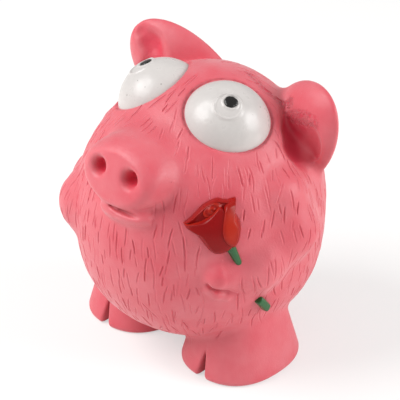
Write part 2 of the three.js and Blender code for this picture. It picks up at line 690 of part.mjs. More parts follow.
const toy = new THREE.Group();
toy.add(meshOf('body_skin', makeSkin(), materials.skin));
toy.add(meshOf('snout', makeSnout(), materials.skin));
for (const [side, word] of [[1, 'left'], [-1, 'right']]) {
  toy.add(meshOf(`ear_${word}`, makeEar(side), materials.skin));
  toy.add(meshOf(`eye_${word}`, makeEye(side), materials.eyeWhite));
  toy.add(meshOf(`pupil_${word}`, makePupil(side), materials.pupil));
  toy.add(meshOf(`arm_${word}`, armSolid(side, 0).subtract(bodySolid(GAP)), materials.skin));
  toy.add(meshOf(`foot_${word}`, makeFoot(side), materials.skin));
}
toy.add(meshOf('tail', makeTail(), materials.skin));
toy.add(meshOf('rose_front_petal', makeFrontPetal(), materials.rose));
toy.add(meshOf('rose_side_petal', makeSidePetal(), materials.sidePetal));
toy.add(meshOf('rose_back_petal', makeBackPetal(), materials.rose));
toy.add(meshOf('rose_bud', makeBud(), materials.sidePetal));
toy.add(meshOf('stem_upper', makeStem(STEM_UPPER_ANGLES), materials.stem));
toy.add(meshOf('stem_lower', makeStem(STEM_LOWER_ANGLES), materials.stem));
toy.add(meshOf('fibre_filling', makeFilling(), materials.filling));

const squeaker = new THREE.Group();
squeaker.add(meshOf('squeaker_housing', makeHousing(), materials.plastic));
squeaker.add(meshOf('squeaker_grille', makeGrille(), materials.plastic));
squeaker.add(meshOf('squeaker_reed_bed', makeReedBed(), materials.plastic));
squeaker.add(meshOf('squeaker_reed', makeReed(), materials.reed));
squeaker.add(meshOf('squeaker_reed_wedge', makeWedge(), materials.plastic));
squeakerFrame().decompose(squeaker.position, squeaker.quaternion, squeaker.scale);
toy.add(squeaker);

// Origin: middle of the toy's box, on the plane that the soles rest on
const box = new THREE.Box3().setFromObject(toy);
const middle = box.getCenter(new THREE.Vector3());
toy.position.set(-middle.x, -middle.y, -box.min.z);
toy.updateMatrixWorld(true);

export default toy;
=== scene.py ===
"""A moulded latex pig toy that holds a rose, dressed over its fixed frame.

Shapes are worked out in millimetres in the toy's own axes: Z up, the face looks along -Y, and the
pig's left side is +X. They are moved to the frame's origin and turned to metres when a mesh is made.
"""

from math import cos, pi, radians, sin, sqrt
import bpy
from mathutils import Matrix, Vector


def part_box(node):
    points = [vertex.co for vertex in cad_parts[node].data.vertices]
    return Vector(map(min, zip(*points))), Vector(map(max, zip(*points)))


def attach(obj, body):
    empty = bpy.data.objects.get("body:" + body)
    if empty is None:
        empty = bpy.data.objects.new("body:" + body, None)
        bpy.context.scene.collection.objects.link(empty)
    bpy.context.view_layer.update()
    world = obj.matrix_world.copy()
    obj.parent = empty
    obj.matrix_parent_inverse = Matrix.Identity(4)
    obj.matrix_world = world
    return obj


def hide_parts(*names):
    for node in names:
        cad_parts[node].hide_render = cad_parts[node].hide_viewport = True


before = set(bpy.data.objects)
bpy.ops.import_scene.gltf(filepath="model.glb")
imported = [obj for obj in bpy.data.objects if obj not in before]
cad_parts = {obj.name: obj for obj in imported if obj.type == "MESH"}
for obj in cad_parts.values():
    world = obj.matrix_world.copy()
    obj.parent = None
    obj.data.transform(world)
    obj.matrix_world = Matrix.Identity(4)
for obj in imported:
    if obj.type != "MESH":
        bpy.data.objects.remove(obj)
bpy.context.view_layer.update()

from types import SimpleNamespace

import bpy
import numpy as np
from bpy.props import FloatProperty, FloatVectorProperty, IntProperty, PointerProperty
from mathutils import Vector

bl_info = {
    "name": "Latex pig toy",
    "version": (1, 0, 0),
    "blender": (4, 5, 0),
    "location": "View3D > Sidebar > Toy",
    "description": "Builds a moulded latex pig with painted eyes, a rose and a plug-in squeaker",
    "category": "Add Mesh",
}

SKIN_LOW, SKIN_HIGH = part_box("body_skin")
BODY_RADIUS = (SKIN_HIGH.x - SKIN_LOW.x) / 2
BODY_HALF_HEIGHT = (SKIN_HIGH.z - SKIN_LOW.z) / 2
FRAME_SHIFT = np.array([0.0, (SKIN_LOW.y + BODY_RADIUS) * 1000, 0.0])


def length(name, value, description):
    return FloatProperty(
        name=name, description=description, default=value, min=0, unit="LENGTH", subtype="DISTANCE")


def angle(name, degrees, description):
    return FloatProperty(name=name, description=description, default=radians(degrees), subtype="ANGLE")


def share(name, value, description):
    return FloatProperty(
        name=name, description=description, default=value, min=0, soft_max=1, subtype="FACTOR")


def linear(colour):
    """Turns an sRGB hex value into linear red, green and blue."""
    parts = np.array([(colour >> 16) & 255, (colour >> 8) & 255, colour & 255]) / 255
    low, high = parts / 12.92, ((parts + 0.055) / 1.055) ** 2.4
    return tuple(np.where(parts <= 0.04045, low, high))


def tint(name, colour, description):
    return FloatVectorProperty(
        name=name, description=description, default=linear(colour), size=3, min=0, max=1, subtype="COLOR")


class ToySizes(bpy.types.PropertyGroup):
    body_radius: length("Body radius", BODY_RADIUS, "Half the width of the egg-shaped body")
    body_half_height: length("Body half height", BODY_HALF_HEIGHT, "Half the height of the body")
    body_clearance: length("Body clearance", SKIN_LOW.z, "Height of the belly above the soles")
    crown_offset: length("Crown offset", 0.0044, "How far the crown sits behind the waist")
    crown_narrowing: share("Crown narrowing", 0.095, "Share by which the crown is narrower than the egg")
    belly_fullness: share("Belly fullness", 0.086, "Share by which the belly is fuller than the egg")
    skin_wall: length("Skin wall", 0.0025, "Thickness of the latex")
    snout_latitude: angle("Snout latitude", 30.8, "Height of the snout on the body")
    snout_tilt: angle("Snout tilt", 16, "How far the snout looks upwards")
    snout_half_width: length("Snout half width", 0.0148, "Half the width of the snout at its root")
    snout_half_height: length("Snout half height", 0.0108, "Half the height of the snout at its root")
    snout_reach: length("Snout reach", 0.0067, "How far the snout stands out of the face")
    nostril_radius: length("Nostril radius", 0.0024, "Radius of a nostril")
    nostril_spacing: length("Nostril spacing", 0.0124, "Distance between the nostrils")
    ear_half_length: length("Ear half length", 0.0245, "Half the height of the ear's whole ellipsoid")
    ear_half_width: length("Ear half width", 0.0146, "Half the width of an ear")
    ear_thickness: length("Ear thickness", 0.009, "Depth of an ear from its back to its front")
    ear_tilt: angle("Ear tilt", 47.5, "How far the ears lean outwards")
    ear_turn: angle("Ear turn", 21.4, "How far the ears' fronts turn towards each other")
    eye_radius: length("Eye radius", 0.0137, "Radius of the ball of an eye")
    eye_relief: length("Eye relief", 0.0051, "How far the ball stands out of the head")
    iris_radius: length("Iris radius", 0.0041, "Radius of the raised ring round the pupil")
    pupil_radius: length("Pupil radius", 0.0019, "Radius of the painted pupil")
    foot_half_width: length("Foot half width", 0.0158, "Half the width of a foot")
    foot_half_length: length("Foot half length", 0.018, "Half the length of a foot")
    foot_spacing: length("Foot spacing", 0.0416, "Distance between the middles of the feet")
    bristle_length: length("Bristle length", 0.007, "Usual length of a bristle line in the skin")
    skin_step: length("Skin step", 0.0009, "Grid step of the skin before it is cut finer")
    seed: IntProperty(name="Seed", description="Seed of every random choice", default=7)


class ToyColours(bpy.types.PropertyGroup):
    latex: tint("Latex", 0xCC4856, "Pink latex, coloured in the mass")
    # Latex in hollows: darker pink painted into the ears' wells, dents, nostrils, creases, bristle cuts and
    # torn cracks as their shade
    latex_deep: tint("Latex in hollows", 0xCC2C45, "Pink of grooves and of the ears' hollows")
    eye_white: tint("Eye white", 0xC6C1BE, "White gloss paint of the eyes")
    pupil: tint("Pupil", 0x191716, "Black gloss paint of the pupils")
    petal_dark: tint("Dark petal", 0x880C0E, "Dark red gloss paint of the rose")
    petal_light: tint("Light petal", 0xAC2716, "Orange red gloss paint of the rose's folds")
    stem: tint("Stem", 0x1C5829, "Green gloss paint of the stem")
    fibre: tint("Fibre", 0xEFEDE6, "White polyester fibre")
    plastic: tint("Plastic", 0xE6E3D8, "Natural polyethylene of the squeaker")
    reed: tint("Reed", 0xD5DADD, "Clear film of the squeaker's reed")
    floor: tint("Floor", 0xF4F3F1, "Pale floor under the toy")


def toy_numbers():
    """The panel's sizes, with lengths in millimetres and angles in radians, and what follows from them."""
    sizes = bpy.context.scene.toy_sizes
    t = SimpleNamespace()
    for key in ToySizes.__annotations__:
        value = getattr(sizes, key)
        is_length = sizes.bl_rna.properties[key].subtype == "DISTANCE"
        setattr(t, key, value * 1000 if is_length else value)
    t.centre = t.body_clearance + t.body_half_height
    return t


# Distances: negative inside a form, positive outside, in millimetres


def blend(a, b, width):
    """Smooth union: the smaller of two distances, rounded over a width where they cross."""
    h = np.clip(0.5 + 0.5 * (b - a) / width, 0, 1)
    return b * (1 - h) + a * h - width * h * (1 - h)


def carve(a, b, width):
    """Smooth cut: inside a and outside b, with the edge between them rounded over a width."""
    return -blend(-a, b, width)


def smooth_step(value, low, high):
    """3 s^2 - 2 s^3, where s runs from nought to one as the value goes from low to high."""
    s = np.clip((value - low) / (high - low), 0, 1)
    return s * s * (3 - 2 * s)


def ellipsoid(q, radii):
    """k (k - 1) / g, where k is the length of the point divided by the radii and g its gradient."""
    radii = np.array(radii, float)
    k = np.sqrt(((q / radii) ** 2).sum(-1))
    g = np.sqrt(((q / radii**2) ** 2).sum(-1)) + 1e-9
    return k * (k - 1) / g


def round_cone(p, start, end, start_radius, end_radius):
    """Distance to the nearest point of a line, less a radius that changes evenly along it."""
    start, end = np.array(start, float), np.array(end, float)
    along = end - start
    s = np.clip(((p - start) @ along) / (along @ along), 0, 1)
    nearest = start + s[:, None] * along
    return np.sqrt(((p - nearest) ** 2).sum(-1)) - (start_radius + (end_radius - start_radius) * s)


def round_chain(p, points, radii, width):
    """Round cones from joint to joint, blended over a width."""
    total = round_cone(p, points[0], points[1], radii[0], radii[1])
    for i in range(1, len(points) - 1):
        total = blend(total, round_cone(p, points[i], points[i + 1], radii[i], radii[i + 1]), width)
    return total


# Places on the toy


CROWN_LIMIT = 1.15  # in half heights over the middle: above it the crown's slices stop changing


def unit(vectors):
    return vectors / np.linalg.norm(vectors, axis=-1, keepdims=True)


def direction(azimuth, elevation):
    """Unit vector: azimuth turns from the face towards the pig's left, elevation turns upwards."""
    level = np.cos(elevation)
    return np.stack([level * np.sin(azimuth), -level * np.cos(azimuth), np.sin(elevation) + 0 * azimuth], -1)


def body_share(up, t):
    """Width of a level slice as a share of the egg's, u half heights over the waist: 1 - a u^2 above it and
    1 + 4 b u^2 (1 - u^2) below it."""
    crown, belly = np.clip(up, 0, CROWN_LIMIT) ** 2, np.clip(-up, 0, 1) ** 2
    return 1 - t.crown_narrowing * crown + t.belly_fullness * 4 * belly * (1 - belly)


def body_place(azimuth, latitude, outward, t):
    """Point on the egg: a unit sphere's point times the radii, drawn in and set back above the waist and
    filled out below it."""
    d = direction(np.asarray(azimuth, float), np.asarray(latitude, float))
    crown = np.maximum(0, d[..., 2])
    radius = (t.body_radius + outward) * body_share(d[..., 2], t)
    return np.stack([
        d[..., 0] * radius,
        d[..., 1] * radius + t.crown_offset * crown**1.5,
        t.centre + d[..., 2] * (t.body_half_height + outward)], -1)


def over_body(angles, outward, t):
    """Points at pairs of azimuth and latitude in degrees, at one height or a height each over the body."""
    azimuth, latitude = np.radians(np.array(angles, float)).T
    return body_place(azimuth, latitude, np.array(outward, float), t)


def body_normal(azimuth, latitude, t):
    """Direction square to two short steps over the body, one sideways and one upwards."""
    step = radians(0.5)
    across = body_place(azimuth + step, latitude, 0, t) - body_place(azimuth - step, latitude, 0, t)
    upward = body_place(azimuth, latitude + step, 0, t) - body_place(azimuth, latitude - step, 0, t)
    return unit(np.cross(across, upward))


def frame_at(origin, axis):
    """A place with its Z along an axis, its X level and its Y square to both, as rows."""
    z = unit(axis)
    x = unit(np.cross((0, 0, 1), z))
    return np.asarray(origin, float), np.stack([x, np.cross(z, x), z])


def seat(azimuth, latitude, t):
    """The place at an azimuth and latitude in degrees that looks straight out of the body."""
    azimuth, latitude = radians(azimuth), radians(latitude)
    return frame_at(body_place(azimuth, latitude, 0, t), body_normal(azimuth, latitude, t))


def into(p, place):
    """Points of the toy in a place's own axes."""
    return (p - place[0]) @ place[1].T


def out_of(q, place):
    """Points in a place's own axes, back in the toy's."""
    return place[0] + q @ place[1]


def snout_place(t):
    return frame_at(body_place(0, t.snout_latitude, 0, t), direction(0.0, t.snout_tilt))


# Azimuth and latitude in degrees of the seats of the ears and eyes, and the direction that each eye looks in
EAR_SEAT, EAR_RISE = (129.4, 35.2), 1.6
EYE_SEAT = (62.5, 60.2)
GAZE = {1: (50, 53.5), -1: (-60, 60)}


def ear_place(side, t):
    """The ear's seat, leaning outwards by its tilt and then turned about the upright."""
    tilt, turn = side * t.ear_tilt, -side * t.ear_turn
    lean = np.array([[cos(tilt), 0, -sin(tilt)], [0, 1, 0], [sin(tilt), 0, cos(tilt)]])
    swing = np.array([[cos(turn), sin(turn), 0], [-sin(turn), cos(turn), 0], [0, 0, 1]])
    azimuth, latitude = EAR_SEAT
    return body_place(side * radians(azimuth), radians(latitude), EAR_RISE, t), lean @ swing


def eye_place(side, t):
    """The middle of the eye's ball, a radius less its relief under the body, with Z along its gaze."""
    azimuth, elevation = GAZE[side]
    centre = body_place(side * radians(EYE_SEAT[0]), radians(EYE_SEAT[1]), t.eye_relief - t.eye_radius, t)
    return frame_at(centre, direction(radians(azimuth), radians(elevation)))


def rose_place(t):
    return seat(48.3, 15, t)


def squeaker_place(t):
    return seat(180, -36, t)


# Shoulder, elbow, wrist and hand of the left arm (1) and the right one (-1): azimuth and latitude in degrees,
# radius, and height over the body
ARM_ANGLES = {
    1: ((88, 20.5), (93, 3.3), (71, -8), (51.5, -6.2)),
    -1: ((-88, 20.5), (-93, 6.3), (-71, 0), (-45, 0))}
ARM_RADII = {1: (9, 9, 7.5, 3.8), -1: (9, 9, 8, 10.8)}
ARM_RELIEFS = {1: (3.2, 3.3, 3.0, 3.2), -1: (3.2, 3.3, 3.5, 4.6)}
HAND_CREASE = {
    1: ((46.2, -9.2), (49.9, -11.6), (54.8, -13.7), (59.4, -15.6)),
    -1: ((-40, -12.5), (-48, -14.5), (-57, -12.5))}

# Azimuth and latitude in degrees of both ends of each length of stem
UPPER_STEM = ((54.8, 8.8), (59.4, -0.2))
LOWER_STEM = ((70.3, -21.2), (75.2, -27.2))


def arm_joints(side, t):
    """The arm's joints, each sunk by its own radius and raised by its own relief."""
    return over_body(ARM_ANGLES[side], np.subtract(ARM_RELIEFS[side], ARM_RADII[side]), t)


CURL_RADIUS = 3.4


def tail_path(t):
    """Straight out of the body, then most of one turn beside it."""
    root = body_place(pi, radians(-6), 0, t)
    turn = np.linspace(0, radians(306), 22)
    curl = np.stack([
        CURL_RADIUS * (1 - np.cos(turn)), 2.4 + 1.65 * np.sin(turn / 2), -CURL_RADIUS * np.sin(turn)], -1)
    start = np.array([[0, -2.5, 0], [0, 0, 0]])
    return root + np.concatenate([start, curl])


# The skin: one moulding of body, snout, ears, arms, feet and tail


SNOUT_SHIFT, SNOUT_ROOT = np.array([1.0, 0, 0]), -14
NOSTRIL_SHIFT, NOSTRIL_DEPTH = (0.9, 0.2), 5
MOUTH_SHIFT, MOUTH_DEPTH, MOUTH_RADII = (7.0, 0.4), 1.8, (7.0, 0.75, 1.7)
LIP_SEAT, LIP_RADII = (7, 16), (9, 3.1, 3.1)
LEFT_EAR_SHIFT = np.array([0.8, 0, -3.2])
EAR_BACK = -0.9  # the ear's flat back, in front of its ellipsoid's middle
EAR_WELL_CENTRE, EAR_WELL_RADII = np.array([3.0, 1.8]), (9.8, 13.6)
RIGHT_EAR_HOLLOW = ((-0.9, -5.4, 21.6), (-1.6, -8.3, 17.4), (-0.8, -9.6, 12.8))
EAR_DENT = ((126, 44), (111, 40), (105, 35), (103, 30))
HAND_FOLD = ((47, -12.3), (50.5, -14.8), (55, -16.8))
FOOT_FORWARD = 3.9  # how far the feet stand in front of the toy's middle
CLEFT_HALF_WIDTH, CLEFT_HEIGHT, CLEFT_DEPTH = 1.6, 9.5, 6
TAIL_RADIUS = 1.5
POCKET_RADIUS, POCKET_FLOOR = 9.3, -2.9  # the squeaker's flange sits in the pocket and its barrel in the bore
BORE_RADIUS, BORE_END = 6.3, -12
BOSS_RADIUS, BOSS_END = 11.9, -5.5
FAR = 50.0  # distance given where a form is not worked out


def body_distance(p, t):
    """An ellipsoid whose level slices move back and shrink towards the crown."""
    up = (p[:, 2] - t.centre) / t.body_half_height
    crown = np.clip(up, 0, CROWN_LIMIT)
    radius = t.body_radius * body_share(up, t)
    level = p[:, 0] ** 2 + (p[:, 1] - t.crown_offset * crown**1.5) ** 2
    k = np.sqrt(level / radius**2 + up**2)
    g = np.sqrt(level / radius**4 + (up / t.body_half_height) ** 2) + 1e-9
    return k * (k - 1) / g


def snout_distance(p, t):
    """An oval stub that narrows to a slightly domed front, with an edge that is rounder at the top."""
    q = into(p, snout_place(t)) - SNOUT_SHIFT
    across = np.hypot(q[:, 0], q[:, 1] * t.snout_half_width / t.snout_half_height)
    edge = 2.6 + 4.5 * smooth_step(q[:, 1], -2, 9)
    radius = t.snout_half_width - 1.2 * np.clip(q[:, 2] / t.snout_reach, -1, 1)
    front = t.snout_reach + 0.3 - 0.9 * (across / t.snout_half_width) ** 2
    a, b = across - (radius - edge), q[:, 2] - (front - edge)
    corner = np.minimum(np.maximum(a, b), 0) + np.hypot(np.maximum(a, 0), np.maximum(b, 0))
    return np.maximum((corner - edge) * 0.85, SNOUT_ROOT - q[:, 2])


def nostril_distance(p, t):
    """Two long ellipsoids, mirrored over the snout's middle."""
    q = into(p, snout_place(t)) - np.array([*NOSTRIL_SHIFT, t.snout_reach])
    q[:, 0] = np.abs(q[:, 0]) - t.nostril_spacing / 2
    return ellipsoid(q, (t.nostril_radius, t.nostril_radius, NOSTRIL_DEPTH))


def mouth_distance(p, t):
    """A thin slit under the snout's front, to the left of its middle, with its ends turned up."""
    along, above = MOUTH_SHIFT
    middle = np.array([along, above - t.snout_half_height, t.snout_reach - MOUTH_DEPTH])
    q = into(p, snout_place(t)) - middle
    q[:, 1] -= 0.008 * q[:, 0] ** 2
    return ellipsoid(q, MOUTH_RADII)


def lip_distance(p, t):
    """An ellipsoid laid along the mouth, on the body under the snout."""
    return ellipsoid(into(p, seat(*LIP_SEAT, t)), LIP_RADII)


def mirrored(p):
    """Points with both sides of the toy folded on to its left side."""
    return np.stack([np.abs(p[:, 0]), p[:, 1], p[:, 2]], -1)


def ear_outer(p, t):
    """Half an ellipsoid with a flat back and a rounded rim. The left one sits a little lower."""
    q = into(mirrored(p), ear_place(1, t)) - LEFT_EAR_SHIFT * (p[:, :1] > 0)
    outer = ellipsoid(q, (t.ear_half_width, t.ear_thickness, t.ear_half_length))
    return carve(outer, EAR_BACK - q[:, 1], 1.8)


def ear_well(p, t):
    """An oval well, open to the front. Its rounded floor slopes down from the rim towards the head."""
    q = into(mirrored(p), ear_place(1, t))
    oval = ellipsoid(q[:, [0, 2]] - EAR_WELL_CENTRE, EAR_WELL_RADII)
    floor = -t.skin_wall - 0.2 - 0.42 * np.clip(11 - q[:, 0], 0, 18)
    return carve(oval, floor - q[:, 1], 4.0)


def ear_distance(p, t):
    """The ear with its well. The right one's runs on in a small hollow towards its tip."""
    ear = carve(ear_outer(p, t), ear_well(p, t), 1.0)
    q = into(mirrored(p), ear_place(1, t))
    hollow = np.where(p[:, 0] > 0, FAR, round_chain(q, RIGHT_EAR_HOLLOW, (2.6, 4.2, 4.0), 3.0))
    return carve(ear, hollow, 2.2)


def dented_body(p, t):
    """The body with a shallow dent where each ear's well runs into the head."""
    path = over_body(EAR_DENT, (3.5, 3.2, 3.2, 3.6), t)
    return carve(body_distance(p, t), round_chain(mirrored(p), path, (5.5, 6.3, 6.3, 5.5), 1.0), 2.0)


def foot_distance(p, t):
    """A rounded oblong that narrows to the ankle, with a wedge cut out of its toe."""
    taper = 1.02 - 0.29 * np.clip((p[:, 2] - 2) / 18, 0, 1.5)
    half_width, half_length = t.foot_half_width * taper, t.foot_half_length * taper
    across = np.abs(p[:, 0]) - t.foot_spacing / 2
    along = p[:, 1] + FOOT_FORWARD
    power = 2.4
    ring = (np.abs(across / half_width) ** power + np.abs(along / half_length) ** power) ** (1 / power)
    foot = carve((ring - 1) * half_width * 0.95, p[:, 2], 1.5)
    foot = carve(foot, 30 - p[:, 2], 5)
    wedge = CLEFT_HALF_WIDTH * np.clip(1 - p[:, 2] / CLEFT_HEIGHT, -1, 1)
    cleft = np.maximum(np.abs(across - 0.1) - wedge, along + t.foot_half_length - CLEFT_DEPTH)
    return carve(foot, cleft, 0.9)


def eye_distance(p, t):
    """Distance to the middle of the left eye's ball, less its radius."""
    return np.linalg.norm(p - eye_place(1, t)[0], axis=-1) - t.eye_radius


def arm_distance(p, side, t):
    """Round cones from shoulder to hand."""
    return round_chain(p, arm_joints(side, t), ARM_RADII[side], 3.5)


def crease_distance(p, side, t):
    """A thin chain of round cones along the crease of the hand."""
    return round_chain(p, over_body(HAND_CREASE[side], 0.5, t), (0.6, 0.8, 0.7, 0.3), 1.0)


def fold_distance(p, t):
    """The low fold of skin under the left hand's crease."""
    return round_chain(p, over_body(HAND_FOLD, -0.6, t), (1.2, 1.4, 1.0), 1.2)


def tail_distance(p, t):
    """A round cord along the tail's path."""
    path = tail_path(t)
    return round_chain(p, path, np.full(len(path), TAIL_RADIUS), 0.4)


def squeaker_hole_distance(p, t):
    """Pocket for the flange and bore for the barrel."""
    q = into(p, squeaker_place(t))
    around = np.hypot(q[:, 0], q[:, 1])
    pocket = np.maximum(around - POCKET_RADIUS, POCKET_FLOOR - q[:, 2])
    bore = np.maximum(around - BORE_RADIUS, BORE_END - q[:, 2])
    return np.minimum(pocket, bore)


def cavity_distance(p, t):
    """The hollow inside the wall, less the boss that holds the squeaker."""
    q = into(p, squeaker_place(t))
    boss = np.maximum(np.hypot(q[:, 0], q[:, 1]) - BOSS_RADIUS, BOSS_END - q[:, 2])
    return carve(dented_body(p, t) + t.skin_wall, boss, 1.0)


def only_where(part, distance, p, *more):
    """A distance worked out for part of the points, and far for the rest."""
    out = np.full(len(p), FAR)
    if part.any():
        out[part] = distance(p[part], *more)
    return out


def skin_distance(p, t):
    """All forms joined by soft blends, less the mouth, nostrils, creases, eye sockets, squeaker's hole
    and cavity."""
    q = into(p, snout_place(t))
    soft = smooth_step(q[:, 1], 3, 11) * (1 - 0.7 * smooth_step(q[:, 0], 3, 10))
    skin = blend(dented_body(p, t), snout_distance(p, t), 1.8 + 3.8 * soft)
    skin = blend(skin, lip_distance(p, t), 2.2)
    skin = carve(skin, mouth_distance(p, t), 1.0)
    skin = carve(skin, nostril_distance(p, t), 2.2)
    skin = blend(skin, ear_distance(p, t), 3.0)
    left = p[:, 0] > 0
    arms, creases = (
        np.minimum(only_where(left, form, p, 1, t), only_where(~left, form, p, -1, t))
        for form in (arm_distance, crease_distance))
    skin = blend(skin, fold_distance(p, t), 1.4)
    skin = blend(skin, arms, 2.6)
    skin = carve(skin, creases, 0.7)
    skin = blend(skin, foot_distance(p, t), 2.0)
    near_tail = (p[:, 1] > 30) & (np.abs(p[:, 0] - 3) < 14)
    skin = blend(skin, only_where(near_tail, tail_distance, p, t), 1.2)
    socket = np.maximum(eye_distance(mirrored(p), t) - 0.5, -(body_distance(p, t) + 0.7))
    skin = carve(skin, socket, 0.8)
    return np.maximum(skin, np.maximum(-squeaker_hole_distance(p, t), -cavity_distance(p, t)))


# Meshes


def gradient(distance, p, step=0.08):
    """Slope of a distance, from its values a step to each side along each axis."""
    slopes = [distance(p + step * axis) - distance(p - step * axis) for axis in np.eye(3)]
    return np.stack(slopes, -1) / (2 * step)


def settle(distance, p, rounds=2):
    """Moves points along the slope of a distance until it is nought."""
    for _ in range(rounds):
        slope = gradient(distance, p)
        size = np.maximum((slope**2).sum(-1), 0.25)
        step = np.clip(distance(p) / size, -0.6, 0.6)
        p = p - slope * step[:, None]
    return p


def net_surface(distance, low, high, step):
    """Surface net: one point in each grid cell that the nought level crosses, at the mean of the crossings
    of the cell's edges, and one quad across each grid edge that it crosses, turned to face outwards."""
    axes = [np.arange(a, b + step, step) for a, b in zip(low, high)]
    count = [len(a) for a in axes]
    field = np.empty(count)
    grid_y, grid_z = np.meshgrid(axes[1], axes[2], indexing="ij")
    for i, x in enumerate(axes[0]):
        slab = np.stack([np.full(grid_y.size, x), grid_y.ravel(), grid_z.ravel()], -1)
        field[i] = distance(slab).reshape(grid_y.shape)
    cells = [n - 1 for n in count]
    total = np.zeros(cells + [3])
    crossings = np.zeros(cells)
    edges = []
    for axis in range(3):
        first = np.moveaxis(field, axis, 0)[:-1]
        second = np.moveaxis(field, axis, 0)[1:]
        crossed = (first < 0) != (second < 0)
        cut = np.where(crossed, first / np.where(crossed, first - second, 1), 0)
        crossed, cut = np.moveaxis(crossed, 0, axis), np.moveaxis(cut, 0, axis)
        others = [k for k in range(3) if k != axis]
        for du in (0, 1):
            for dv in (0, 1):
                window = [slice(None)] * 3
                window[others[0]] = slice(du, du + cells[others[0]])
                window[others[1]] = slice(dv, dv + cells[others[1]])
                seen = crossed[tuple(window)]
                crossings += seen
                total[..., axis] += np.where(seen, cut[tuple(window)], 0)
                total[..., others[0]] += du * seen
                total[..., others[1]] += dv * seen
        edges.append((crossed, others))
    filled = crossings > 0
    number = np.full(cells, -1)
    number[filled] = np.arange(filled.sum())
    corner = np.stack(np.nonzero(filled), -1)
    points = np.array(low) + step * (corner + total[filled] / crossings[filled][:, None])
    quads = []
    for axis, (crossed, others) in enumerate(edges):
        at = np.stack(np.nonzero(crossed), -1)
        inner = np.ones(len(at), bool)
        for k in others:
            inner &= (at[:, k] > 0) & (at[:, k] < cells[k])
        at = at[inner]
        u, v = np.eye(3, dtype=int)[others[0]], np.eye(3, dtype=int)[others[1]]
        ring = [at - u - v, at - v, at, at - u]
        quad = np.stack([number[tuple(c.T)] for c in ring], -1)
        inside_first = field[tuple(at.T)] < 0
        turn = inside_first if axis != 1 else ~inside_first
        quad[~turn] = quad[~turn][:, ::-1]
        quads.append(quad)
    return points, np.concatenate(quads)


def refine(points, quads, chosen):
    """Cuts each chosen quad in four. A quad beside one keeps its outline with the new point in it. Gives the
    points, the new quads, and the corners and corner counts of the other faces."""
    pairs = np.stack([quads, np.roll(quads, -1, 1)], -1).reshape(-1, 2)
    low, high = pairs.min(1), pairs.max(1)
    code, back = np.unique(low.astype(np.int64) * len(points) + high, return_inverse=True)
    back = back.reshape(-1, 4)
    cut = np.zeros(len(code), bool)
    cut[back[chosen].ravel()] = True
    middle_id = np.full(len(code), -1)
    middle_id[cut] = len(points) + np.arange(cut.sum())
    ends = np.stack([code[cut] // len(points), code[cut] % len(points)], -1)
    centres = points[quads[chosen]].mean(1)
    centre_id = len(points) + cut.sum() + np.arange(len(centres))
    out = np.concatenate([points, points[ends].mean(1), centres])
    q, m = quads[chosen], middle_id[back[chosen]]
    small = np.concatenate([np.stack([q[:, k], m[:, k], centre_id, m[:, k - 1]], -1) for k in range(4)])
    wide = np.stack([quads[~chosen], middle_id[back[~chosen]]], -1).reshape(-1, 8)
    return out, small, wide[wide >= 0], (wide >= 0).sum(1)


def make_object(name, points, loops, sizes, smooth=True):
    """A mesh object in metres in the frame's axes, from points in millimetres in the toy's axes."""
    mesh = bpy.data.meshes.new(name)
    mesh.vertices.add(len(points))
    mesh.vertices.foreach_set("co", ((points + FRAME_SHIFT) * 0.001).astype(np.float32).ravel())
    mesh.loops.add(len(loops))
    mesh.loops.foreach_set("vertex_index", loops.astype(np.int32))
    mesh.polygons.add(len(sizes))
    starts = np.concatenate([[0], np.cumsum(sizes)[:-1]])
    mesh.polygons.foreach_set("loop_start", starts.astype(np.int32))
    mesh.update(calc_edges=True)
    mesh.polygons.foreach_set("use_smooth", np.full(len(sizes), smooth))
    if mesh.validate():
        raise RuntimeError(f"{name} had bad faces")
    piece = bpy.data.objects.new(name, mesh)
    bpy.context.scene.collection.objects.link(piece)
    return piece


def single_poles(grid):
    """The points of a grid, with its first and last rows as one point each."""
    return np.concatenate([grid[:1, 0], grid[1:-1].reshape(-1, 3), grid[-1:, 0]])


def round_piece(name, grid):
    """Closed skin over a grid of rows from pole to pole: the first and last rows are single points."""
    rows, columns = grid.shape[:2]
    points = single_poles(grid)
    column = np.arange(columns)
    following = np.roll(column, -1)
    row = np.arange(rows - 3)[:, None] * columns + 1
    quads = np.stack([row + column, row + columns + column, row + columns + following, row + following], -1)
    last = len(points) - 1
    bottom = 1 + (rows - 3) * columns
    top_fan = np.stack([np.zeros(columns, int), 1 + column, 1 + following], -1)
    low_fan = np.stack([np.full(columns, last), bottom + following, bottom + column], -1)
    loops = np.concatenate([quads.ravel(), top_fan.ravel(), low_fan.ravel()])
    sizes = np.concatenate([np.full(quads.shape[0] * columns, 4), np.full(2 * columns, 3)])
    return make_object(name, points, loops, sizes)


def ring_piece(name, grid):
    """Closed skin over a grid that joins up both ways, as a profile turned round an axis does."""
    rows, columns = grid.shape[:2]
    row, column = np.meshgrid(np.arange(rows), np.arange(columns), indexing="ij")
    below, beside = np.roll(row, -1, 0), np.roll(column, -1, 1)
    here, under = row * columns, below * columns
    quads = np.stack([here + column, under + column, under + beside, here + beside], -1)
    sizes = np.full(rows * columns, 4)
    return make_object(name, grid.reshape(-1, 3), quads.ravel(), sizes)


def add_float(piece, name, values):
    stored = piece.data.attributes.new(name, "FLOAT", "POINT")
    stored.data.foreach_set("value", values.astype(np.float32))


# Bristle lines


ROW_STEP, LINE_STEP = 5.6, 2.5  # mean spacing of the lines up the body and round it
LINE_REACH = 1.2  # how far from a line the faces keep their place on it


